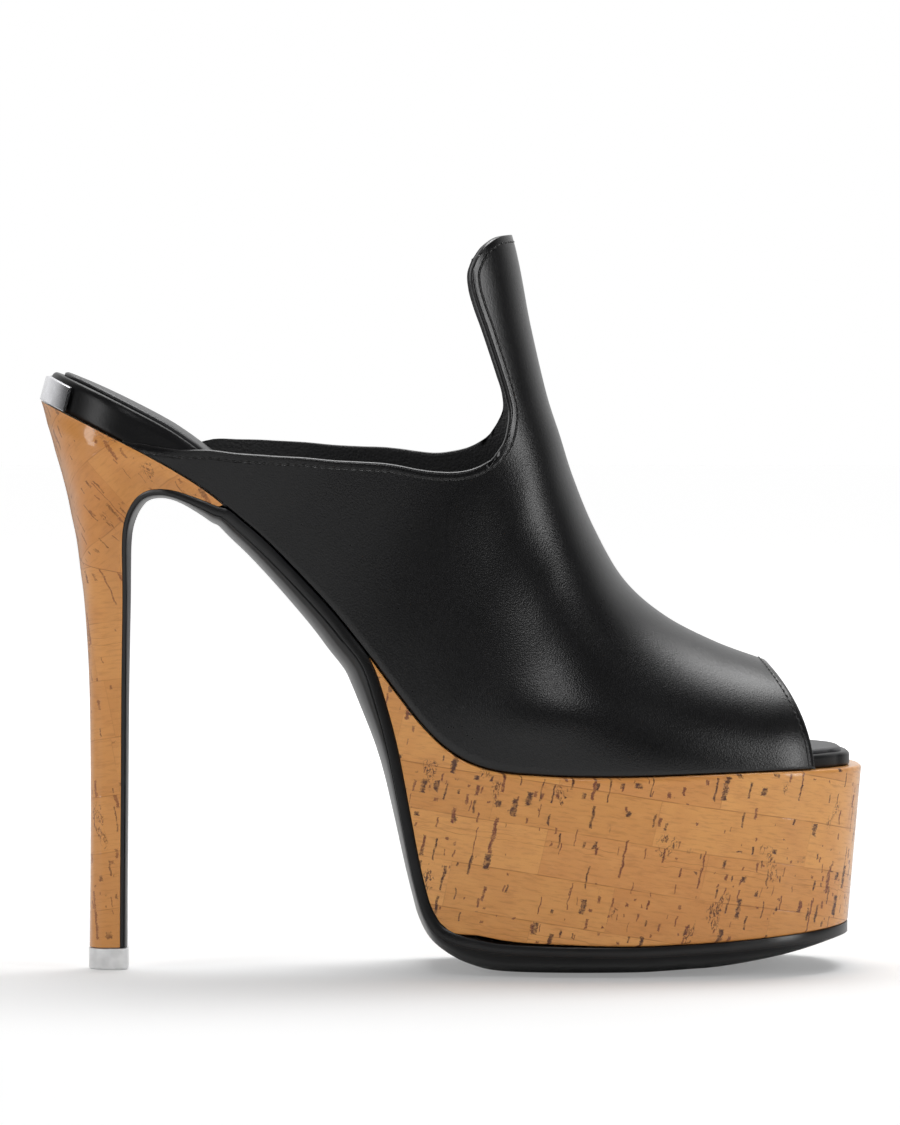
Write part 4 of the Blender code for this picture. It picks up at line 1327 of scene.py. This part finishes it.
def stitch_line(edge, tree, inset):
    """Line of stitches at inset from a free edge, on the surface of the upper, with its normals."""
    line = resample(edge, 0.0006)
    tangent = np.gradient(line, axis=0)
    tangent /= np.linalg.norm(tangent, axis=1)[:, None]
    normals = np.array([tree.find_nearest(Vector(p))[1] for p in line])
    inward = np.cross(normals, tangent)
    inward = np.stack([soften(inward[:, k], 6, 3.0) for k in range(3)], -1)
    inward /= np.linalg.norm(inward, axis=1)[:, None]
    for sign in (1, -1):
        moved = line + sign * inset * inward
        gap = tree.find_nearest(Vector(moved[len(moved) // 3]))[3]
        if gap < 0.4 * inset:
            break
    found = [tree.find_nearest(Vector(p)) for p in moved]
    return np.array([spot for spot, _, _, _ in found]), np.array([normal for _, normal, _, _ in found])


# One stitch: share of its length, share of its thickness
STITCH = ((-0.5, 0.25), (-0.44, 0.7), (-0.3, 0.95), (0.0, 1.0), (0.3, 0.95), (0.44, 0.7), (0.5, 0.25))


def stitch_mesh(lines, length, pitch, thread):
    """Row of short raised threads along each line."""
    points, faces = [], []
    ring = 8
    last = (len(STITCH) - 1) * ring
    for line, normals in lines:
        run = run_of(line)
        count = int(run[-1] / pitch)

        def read(table, spot):
            return np.array([np.interp(spot, run, table[:, k]) for k in range(3)])

        for k in range(count):
            base = len(points)
            for share, size in STITCH:
                spot = (k + 0.5) * run[-1] / count + share * length
                p = read(line, spot)
                n = read(normals, spot)
                t = read(line, spot + 0.0003) - read(line, spot - 0.0003)
                t /= np.linalg.norm(t)
                n -= t * n.dot(t)
                n /= np.linalg.norm(n)
                side = np.cross(t, n)
                sink = thread * (0.12 - 0.55 * abs(share * 2) ** 4)
                for j in range(ring):
                    turn = 2 * math.pi * j / ring
                    round_point = math.cos(turn) * side + math.sin(turn) * n
                    points.append(p + n * sink + thread / 2 * size * round_point)
            for start in range(base, base + last, ring):
                for j in range(ring):
                    a, b = start + j, start + (j + 1) % ring
                    faces.append((a, b, b + ring, a + ring))
            faces.append(tuple(base + j for j in reversed(range(ring))))
            faces.append(tuple(base + last + j for j in range(ring)))
    return mesh_of("stitching", points, faces)


def platform_levels(count, fine):
    """Outlines of the platform from its underside to its top, with rounded edges."""
    rows = sole_rows()
    corner = len(TREAD_LINE) + 1
    tip = len(TREAD_LINE) + len(BACK_LINE)
    back = inner_line(rows, corner, tip, SEAM)
    front_x = at(1.0) - END_ROOM
    share = np.sin(quarter(count)) ** 1.1
    tread = rows[: len(TREAD_LINE) + 1]
    low_start, low_end = back[0][0], front_x - FRONT_TAPER - PLATFORM_EDGE
    low_x = low_start + share * (low_end - low_start)
    low = smooth(tread[::-1, 0], tread[::-1, 1], low_x) + SEAM
    high = foot(back[-1][0] + share * (front_x - PLATFORM_EDGE - back[-1][0])) + 0.4 * GAP
    fade = (1 - share) ** 3
    low += fade * (back[0][1] - low[0])
    turn = quarter(5)
    marks = [(0.02 * (1 - math.cos(a)), 1 - math.sin(a)) for a in turn]
    marks += [(level, 0.0) for level in np.linspace(0.04, 0.96, fine)]
    marks += [(1 - 0.02 * (1 - math.cos(a)), 1 - math.sin(a)) for a in turn[::-1]]
    levels = []
    for level, crisp in marks:
        crisp *= PLATFORM_EDGE
        edge = along(back, level)
        front = front_x - (1 - level) * FRONT_TAPER - crisp
        x = edge[0] + share * (front - edge[0])
        straight = low[0] + level * (high[0] - low[0])
        z = low + level * (high - low) + fade * (edge[1] - straight)
        lateral, medial = plan(x, (1 - level) * PLATFORM_TAPER + crisp, front=front + END_ROOM)
        levels.append(outline_points(x, z, lateral, medial))
    return levels


def heel_levels(count):
    """Outlines of the heel from its seat down to its tip."""
    rows = sole_rows()
    first = len(rows) - len(HEEL) - 1
    share = np.sin(quarter(count)) ** 1.15
    ends = [(at(r[6]), r[7] * PLATFORM_HEIGHT + r[8] * HEEL_RISE, r[9], r[10], r[5]) for r in HEEL]
    ends.append((at(HEEL_TIP[1]), LIFT_HEIGHT + GAP, 0.0, 0.0, 0.0))
    chord = ends[0][1] - rows[first, 1]
    levels = []
    for k, (back_x, back_z, side_width, bulge, front_width) in enumerate(ends):
        i = first + k
        x0, z0 = rows[i, 0] - SEAM, rows[i, 1]
        if k < len(ends) - 1:
            x0, z0 = inner_line(rows, i - 0.5, i + 0.5, SEAM)[1]
        if k == 0:
            x0 = 0.5 * (rows[i, 0] + rows[i + 1, 0])
        x = x0 + share * (back_x - x0)
        z = z0 + share * (back_z - z0)
        top_x = at(HEEL[0][0]) + share * (at(HEEL[0][6]) - at(HEEL[0][0]))
        top_line = rows[first, 1] + share * chord
        z += bulge * (foot(top_x) - top_line)
        if k == 0:
            z = foot(x)
        lateral, medial = heel_half_widths(share, front_width, side_width)
        levels.append(outline_points(x, z, lateral, medial))
    return levels


def sole_sections(toe_count, steps):
    """Sections of the sole from its toe end to the top lift."""
    rows = sole_rows()
    index = np.arange(len(rows), dtype=float)
    behind_toe = np.linspace(4, len(rows) - 1, (len(rows) - 5) * steps + 1)[1:]
    fine = np.concatenate((np.linspace(0, 4, toe_count), behind_toe))
    toe = at(1.0) - FRONT_TAPER - END_ROOM
    x, z, thick, edge = (smooth(index, rows[:, k], fine) for k in range(4))
    toe_back = at(TREAD_LINE[4][0])
    x[:toe_count] = toe_back + (toe - toe_back) * np.sin(np.linspace(math.pi / 2, 0, toe_count))
    line = rows[: len(TREAD_LINE)]
    for values, k in ((z, 1), (thick, 2), (edge, 3)):
        values[:toe_count] = smooth(line[::-1, 0], line[::-1, k], x[:toe_count])
    lateral, medial = sole_half_widths(x, fine)
    dx, dz = heading(rows, fine)
    nx, nz = -dz, dx
    tread = fine <= len(TREAD_LINE) - 1
    nx[tread], nz[tread] = 0.0, -1.0
    nx[-1], nz[-1] = 1.0, 0.0
    for values in (nx, nz, thick):
        values[toe_count + 2 : -9] = soften(values, 12, 0.8 * steps)[toe_count + 2 : -9]
    size = np.hypot(nx, nz)
    nx, nz = nx / size, nz / size
    crown = np.array(CROWN)
    widths = np.concatenate((np.linspace(1.0, 0.86, 9), np.linspace(0.80, 0.0, 12)))
    depths = smooth(-crown[:, 0], crown[:, 1], -widths)
    depths[widths < CROWN[-1][0]] = 1.0
    sections = []
    for i in range(len(fine)):
        ring = []
        middle = (medial[i] - lateral[i]) / 2
        half = (medial[i] + lateral[i]) / 2
        soft = min(0.0004, 0.25 * half)

        def out_at(depth):
            if thick[i] > edge[i]:
                return edge[i] + depth * (thick[i] - edge[i])
            return thick[i] * (0.6 + 0.4 * depth)

        side = out_at(0.0)
        right = [(half - soft, 0.0), (half - 0.3 * soft, 0.07 * soft / 0.3), (half, soft)]
        right += [(half, side * 0.5), (half, side - 0.8 * soft), (half - 0.3 * soft, side - 0.15 * soft)]
        right += [(w * half - (soft if w == 1.0 else 0.0), out_at(d)) for w, d in zip(widths, depths)]
        left = [(-w, d) for w, d in right[:-1]]
        for w, d in right + left[::-1]:
            ring.append((x[i] + nx[i] * d, middle + w, max(0.0, z[i] + nz[i] * d)))
        sections.append(ring)
    return sections


def board_levels(count):
    """Outlines of the insole board with a softly rounded top edge."""
    turn = quarter(7)
    marks = [(0.0, 0.0004), (0.04, 0.00012), (0.10, 0.0)]
    marks += [(h, 0.0) for h in np.linspace(0.2, 0.62, 5)]
    marks += [(0.70 + 0.30 * math.sin(a), 0.0012 * (1 - math.cos(a))) for a in turn]
    return [board_level(height, extra, count) for height, extra in marks]


def sock_levels(count):
    """Outlines of the sock that covers the insole board."""
    levels = []
    back = at(0.002) + SOCK_BACK
    front = at(1.0) - TOE_RIM - 0.0022
    inset = SOCK_MARGIN + RIM + WALL + 2 * GAP
    marks = [(0.00003, 0.0), (0.15 * SOCK, 0.0)]
    marks += [(SOCK * (0.25 + 0.85 * math.sin(a)), 0.0014 * (1 - math.cos(a))) for a in quarter(6)]
    for lift, extra in marks:
        x = back + extra + END_ROOM + stations(count) * (front - back - 2 * extra - 2 * END_ROOM)
        widths = insole_widths(x, inset, extra, back, front)
        thick = board_thickness(x)
        z = seat(x) + thick + lift * np.sqrt(1 + foot_slope(x) ** 2)
        levels.append(outline_points(x + seat_lean(x) * thick, z, *widths))
    return levels


def lift_levels(count):
    """Outlines of the top lift."""
    share = np.sin(quarter(count)) ** 1.15
    front = at(HEEL_TIP[0]) + BREAST + LIFT_MARGIN
    back = at(HEEL_TIP[1]) - LIFT_MARGIN
    turn = quarter(5)
    marks = [(0.07 * (1 - math.cos(a)), 0.0005 * (1 - math.sin(a))) for a in turn]
    marks += [(0.3, 0.0), (0.6, 0.0)]
    marks += [(1 - 0.04 * (1 - math.cos(a)), 0.0003 * (1 - math.sin(a))) for a in turn[::-1]]
    levels = []
    for height, inset in marks:
        x = front - inset + share * (back - front + 2 * inset)
        lateral, medial = heel_half_widths(share, 0.0, 0.0)
        grow = (TIP_WIDTH / 2 + LIFT_MARGIN - inset) / (TIP_WIDTH / 2)
        lateral = (lateral - TIP_SHIFT) * grow + TIP_SHIFT
        medial = (medial + TIP_SHIFT) * grow - TIP_SHIFT
        levels.append(outline_points(x, np.full(len(x), height * LIFT_HEIGHT), lateral, medial))
    return levels


def plate_mesh():
    """Plate around the back of the seat, a strip with softly broken edges."""
    back = at(0.002)
    angles = np.linspace(-PLATE_ANGLE, PLATE_ANGLE, 81)
    lateral, medial = plan(back + HEEL_ROUND)
    soft = 0.00028
    low = [(soft * (1 - math.sin(a)), soft * (1 - math.cos(a))) for a in quarter(5)[::-1]]
    high = [(PLATE_HEIGHT - h, d) for h, d in low[::-1]]
    section = [(0.0, PLATE)] + low + high + [(PLATE_HEIGHT, PLATE)]
    points, faces = [], []
    for angle in angles:
        for rise, depth in section:
            x = back + HEEL_ROUND - (HEEL_ROUND + PLATE_PROUD - depth) * math.cos(angle)
            half = (lateral if angle < 0 else medial) + PLATE_PROUD - depth
            y = half * math.sin(angle)
            z = float(seat(back + HEEL_ROUND - (HEEL_ROUND + PLATE_PROUD) * math.cos(angle))) + rise
            points.append((x + BOARD_LEAN * rise, float(y), z))
    count = len(section)
    for start in range(0, (len(angles) - 1) * count, count):
        for i in range(count):
            a, b = start + i, start + (i + 1) % count
            faces.append((a, b, b + count, a + count))
    faces.append(tuple(range(count)))
    faces.append(tuple((len(angles) - 1) * count + i for i in reversed(range(count))))
    return points, faces


# Sizes and colours

def length(name, description, value, low, high):
    return FloatProperty(name=name, description=description, default=value, min=low, max=high, unit="LENGTH")


class MuleSizes(bpy.types.PropertyGroup):
    """Small sizes of the visible pieces."""

    rim_fold: length("Rim fold", "How far the rim of the upper is rounded", 0.00045, 0.0001, 0.0009)
    stitch_inset: length("Stitch inset", "Distance of the stitches from the edge", 0.0020, 0.001, 0.004)
    stitch_length: length("Stitch length", "Length of one stitch", 0.00145, 0.001, 0.004)
    stitch_pitch: length("Stitch pitch", "Distance from one stitch to the next", 0.0020, 0.0015, 0.006)
    thread: length("Thread", "Thickness of the thread", 0.00038, 0.0002, 0.001)
    cork_strip: length("Cork strip", "Height of one strip of the cork veneer", 0.0118, 0.005, 0.03)


def colour(name, description, value):
    return FloatVectorProperty(name=name, description=description, default=value, size=3,
                               min=0.0, max=1.0, subtype="COLOR")


class MuleColours(bpy.types.PropertyGroup):
    """Colours of the finishes."""

    calf: colour("Calf", "Leather of the upper", (0.0035, 0.0035, 0.004))
    calf_light: colour("Calf, lighter", "Lighter clouds in the leather", (0.0055, 0.0055, 0.006))
    calf_edge: colour("Calf edge", "Worn rim of the leather", (0.02, 0.019, 0.019))
    lining: colour("Lining", "Inside of the upper", (0.01, 0.01, 0.011))
    # Colour of the painted highlight on the lining's raised grain; the sock uses it for its lighter clouds
    # of tone.
    lining_highlight_and_sock_cloud: colour("Lining, lighter", "Raised grain of the lining", (0.026, 0.026, 0.028))
    board: colour("Board", "Leather over the insole board", (0.0055, 0.0055, 0.006))
    sock: colour("Sock", "Top of the insole", (0.016, 0.016, 0.018))
    sole: colour("Sole", "Outsole", (0.0055, 0.0055, 0.006))
    sole_light: colour("Sole, lighter", "Rubbed places of the outsole", (0.012, 0.012, 0.013))
    thread: colour("Thread", "Stitches", (0.004, 0.004, 0.004))
    lift: colour("Top lift", "Hard rubber under the heel", (0.9, 0.9, 0.9))
    plate: colour("Plate", "Metal at the heel", (0.93, 0.93, 0.96))
    cork_light: colour("Cork, light", "Palest strips of the cork", (0.8, 0.39, 0.12))
    cork_mid: colour("Cork, middle", "Usual strips of the cork", (0.66, 0.295, 0.08))
    cork_warm: colour("Cork, warm", "Redder strips of the cork", (0.59, 0.238, 0.066))
    cork_brown: colour("Cork, brown", "Seams and grain of the cork", (0.27, 0.088, 0.025))
    cork_mark: colour("Cork mark", "Red-brown bark marks", (0.15, 0.034, 0.019))
    cork_dark: colour("Cork, dark", "Darkest bark marks", (0.055, 0.016, 0.011))
    floor: colour("Floor", "Studio floor", (0.7, 0.7, 0.7))


class PieceOperator:
    """Common settings of the operators that build pieces."""

    bl_options = {"REGISTER", "UNDO"}


class MULE_OT_upper(PieceOperator, bpy.types.Operator):
    """Build the hollow upper with its lining and rounded rim"""

    bl_idname = "mule.upper"
    bl_label = "Upper"

    def execute(self, context):
        mesh = upper_shell(WALL, sizes().rim_fold)
        place("upper_calf", mesh, [calf_finish(), lining_finish()], ["upper"], creased=False)
        return {"FINISHED"}


class MULE_OT_stitching(PieceOperator, bpy.types.Operator):
    """Sew the stitches along the top edge, the tongue and the toe opening"""

    bl_idname = "mule.stitching"
    bl_label = "Stitching"

    def execute(self, context):
        grids = upper_grids(50, 90, 14, 50, 41)
        bm = welded_sheet(grids)
        tree = BVHTree.FromBMesh(bm)
        bm.free()
        inset = sizes().stitch_inset
        lines = [
            stitch_line(edge_line(grids)[3:-3], tree, inset),
            stitch_line(skin(*grids["vamp"])[0][2:-2], tree, inset),
        ]
        mesh = stitch_mesh(lines, sizes().stitch_length, sizes().stitch_pitch, sizes().thread)
        place("upper_stitches", mesh, [thread_finish()], [], creased=False)
        return {"FINISHED"}


class MULE_OT_platform(PieceOperator, bpy.types.Operator):
    """Build the cork platform"""

    bl_idname = "mule.platform"
    bl_label = "Platform"

    def execute(self, context):
        levels = platform_levels(150, 26)
        mesh = stacked_mesh("platform", levels)
        put_values(mesh, "wrap", wrap_values(levels))
        finish = cork_finish("platform_cork", 0.30, sizes().cork_strip, (PLATFORM_SLOPE,))
        place("platform_cork", mesh, [finish], ["platform"])
        return {"FINISHED"}


class MULE_OT_heel(PieceOperator, bpy.types.Operator):
    """Build the cork heel"""

    bl_idname = "mule.heel"
    bl_label = "Heel"

    def execute(self, context):
        levels = between_levels(heel_levels(60), 6)[::-1]
        mesh = stacked_mesh("heel", levels)
        put_values(mesh, "wrap", wrap_values(levels))
        finish = cork_finish("heel_cork", 0.32, sizes().cork_strip * HEEL_STRIP, HEEL_SLOPES, HEEL_PARTED)
        place("heel_cork", mesh, [finish], ["heel"])
        return {"FINISHED"}


class MULE_OT_outsole(PieceOperator, bpy.types.Operator):
    """Build the sole that runs from the toe up the shank and down the heel"""

    bl_idname = "mule.outsole"
    bl_label = "Outsole"

    def execute(self, context):
        bm = loft(sole_sections(44, 6))
        bmesh.ops.recalc_face_normals(bm, faces=bm.faces)
        mesh = bpy.data.meshes.new("outsole")
        bm.to_mesh(mesh)
        bm.free()
        place("outsole", mesh, [sole_finish()], ["outsole"])
        return {"FINISHED"}


class MULE_OT_insole(PieceOperator, bpy.types.Operator):
    """Build the insole board and the sock on it"""

    bl_idname = "mule.insole"
    bl_label = "Insole board and sock"

    def execute(self, context):
        mesh = stacked_mesh("board", board_levels(170))
        place("insole_board", mesh, [board_finish()], ["insole_board"])
        levels = sock_levels(170)
        mesh = stacked_mesh("sock", levels)
        outline = np.concatenate((levels[-1][0], levels[-1][1]))
        put_values(mesh, "edge", distance_to(vertex_array(mesh), resample(outline, 0.0006)))
        place("sock", mesh, [sock_finish()], ["sock"])
        return {"FINISHED"}


class MULE_OT_top_lift(PieceOperator, bpy.types.Operator):
    """Build the top lift under the heel"""

    bl_idname = "mule.top_lift"
    bl_label = "Top lift"

    def execute(self, context):
        mesh = stacked_mesh("lift", lift_levels(44))
        place("top_lift", mesh, [lift_finish()], ["top_lift"])
        return {"FINISHED"}


class MULE_OT_plate(PieceOperator, bpy.types.Operator):
    """Build the bare metal plate around the back of the seat"""

    bl_idname = "mule.plate"
    bl_label = "Heel plate"

    def execute(self, context):
        mesh = mesh_of("plate", *plate_mesh())
        place("heel_plate", mesh, [plate_finish()], ["heel_plate"])
        return {"FINISHED"}


def area_light(name, size, energy, place_at, aim):
    """Softbox of a width and height, in watts, turned to what it lights."""
    light = bpy.data.lights.new(name, "AREA")
    light.shape = "RECTANGLE"
    light.size, light.size_y = size
    light.energy = energy
    lamp = bpy.data.objects.new(name, light)
    lamp.location = place_at
    lamp.rotation_mode = "QUATERNION"
    lamp.rotation_quaternion = (Vector(aim) - Vector(place_at)).to_track_quat("-Z", "Y")
    bpy.context.scene.collection.objects.link(lamp)


def floor_finish():
    """Pale floor with painted light: it glows for the camera alone, out to white away from the shoe and
    weaker near it, which leaves a painted shade around the shoe, and it keeps the soft shadow of the lights.
    """
    shade = Finish("studio_floor", colours().floor, 0.6)
    fine = shade.noise(shade.object_place(), 30, 2.0)
    shade.set(colours().floor, shade.shader.inputs["Emission Color"])
    seen = shade.node("LightPath").outputs["Is Camera Ray"]
    away = shade.node("VectorMath", operation="LENGTH")
    shade.set(shade.object_place(), away.inputs[0])
    # Painted glow: emission seen by the camera only, weaker near the shoe and stronger away from it, so the
    # floor around the shoe holds a painted shade.
    painted_glow = shade.ramp(away.outputs["Value"], 0.25, 1.1, 0.34, 1.2)
    shade.set(shade.mul(seen, painted_glow), shade.shader.inputs["Emission Strength"])
    shade.rough(shade.mul_add(fine, 0.05, 0.6))
    shade.shader.inputs["Specular IOR Level"].default_value = 0.0
    return shade.material


def light_world(scene):
    """Sets a white world that is dim in front of the shoe, and plain white for the camera."""
    world = bpy.data.worlds.new("studio_world")
    scene.world = world
    world.use_nodes = True
    nodes, links = world.node_tree.nodes, world.node_tree.links
    background = nodes["Background"]
    background.inputs["Color"].default_value = (1.0, 1.0, 1.0, 1.0)
    direction = nodes.new("ShaderNodeTexCoord").outputs["Generated"]
    parts = nodes.new("ShaderNodeSeparateXYZ")
    links.new(direction, parts.inputs[0])
    behind = nodes.new("ShaderNodeMapRange")
    behind.interpolation_type = "SMOOTHSTEP"
    limits = {"From Min": 0.05, "From Max": 0.75, "To Min": WORLD_FRONT, "To Max": WORLD_BACK}
    for name, limit in limits.items():
        behind.inputs[name].default_value = limit
    links.new(parts.outputs[1], behind.inputs["Value"])
    mixed = nodes.new("ShaderNodeMix")
    mixed.data_type = "FLOAT"
    links.new(nodes.new("ShaderNodeLightPath").outputs["Is Camera Ray"], mixed.inputs[0])
    links.new(behind.outputs["Result"], mixed.inputs[2])
    mixed.inputs[3].default_value = 1.0
    links.new(mixed.outputs[0], background.inputs["Strength"])


def aim_camera(scene):
    """Sets the camera at the photograph's angle."""
    camera = bpy.data.cameras.new("camera")
    camera.lens = LENS
    camera.sensor_width = SENSOR
    camera.clip_end = 20.0
    eye = bpy.data.objects.new("camera", camera)
    azimuth, elevation = math.radians(VIEW_AZIMUTH), math.radians(VIEW_ELEVATION)
    level = math.cos(elevation)
    back = Vector((math.sin(azimuth) * level, -math.cos(azimuth) * level, math.sin(elevation)))
    eye.location = Vector(VIEW_TARGET) + back * VIEW_DISTANCE
    eye.rotation_mode = "QUATERNION"
    eye.rotation_quaternion = (-back).to_track_quat("-Z", "Y")
    scene.collection.objects.link(eye)
    scene.camera = eye


class MULE_OT_studio(PieceOperator, bpy.types.Operator):
    """Set up the pale floor, the lights and the camera"""

    bl_idname = "mule.studio"
    bl_label = "Studio"

    def execute(self, context):
        scene = context.scene
        points, faces = [(0.0, 0.0, 0.0)], []
        for k in range(FLOOR_SIDES):
            turn = 2 * math.pi * k / FLOOR_SIDES
            points.append((FLOOR_RADIUS * math.cos(turn), FLOOR_RADIUS * math.sin(turn), 0.0))
            faces.append((0, k + 1, (k + 1) % FLOOR_SIDES + 1))
        mesh = mesh_of("studio_floor", points, faces)
        mesh.materials.append(floor_finish())
        mesh.shade_smooth()
        floor = bpy.data.objects.new("studio_floor", mesh)
        scene.collection.objects.link(floor)
        light_world(scene)
        for softbox in SOFTBOXES:
            area_light(*softbox)
        aim_camera(scene)
        scene.view_settings.view_transform = "Standard"
        scene.view_settings.look = "None"
        return {"FINISHED"}


STEPS = (MULE_OT_upper, MULE_OT_stitching, MULE_OT_insole, MULE_OT_platform, MULE_OT_outsole,
         MULE_OT_heel, MULE_OT_top_lift, MULE_OT_plate, MULE_OT_studio)


class MULE_PT_pieces(bpy.types.Panel):
    """Lists the pieces, their sizes and their colours."""

    bl_label = "Platform mule"
    bl_idname = "MULE_PT_pieces"
    bl_space_type = "VIEW_3D"
    bl_region_type = "UI"
    bl_category = "Mule"

    def draw(self, context):
        for step in STEPS:
            self.layout.operator(step.bl_idname)
        for group in (context.scene.mule_sizes, context.scene.mule_colours):
            box = self.layout.box()
            for name in group.bl_rna.properties.keys():
                if name not in ("rna_type", "name"):
                    box.prop(group, name)


CLASSES = (MuleSizes, MuleColours) + STEPS + (MULE_PT_pieces,)


def register():
    for made in CLASSES:
        bpy.utils.register_class(made)
    bpy.types.Scene.mule_sizes = PointerProperty(type=MuleSizes)
    bpy.types.Scene.mule_colours = PointerProperty(type=MuleColours)


def unregister():
    del bpy.types.Scene.mule_sizes
    del bpy.types.Scene.mule_colours
    for made in reversed(CLASSES):
        bpy.utils.unregister_class(made)


def main():
    register()
    bpy.ops.mule.upper()
    bpy.ops.mule.stitching()
    bpy.ops.mule.insole()
    bpy.ops.mule.platform()
    bpy.ops.mule.outsole()
    bpy.ops.mule.heel()
    bpy.ops.mule.top_lift()
    bpy.ops.mule.plate()
    bpy.ops.mule.studio()


if __name__ == "__main__":
    main()
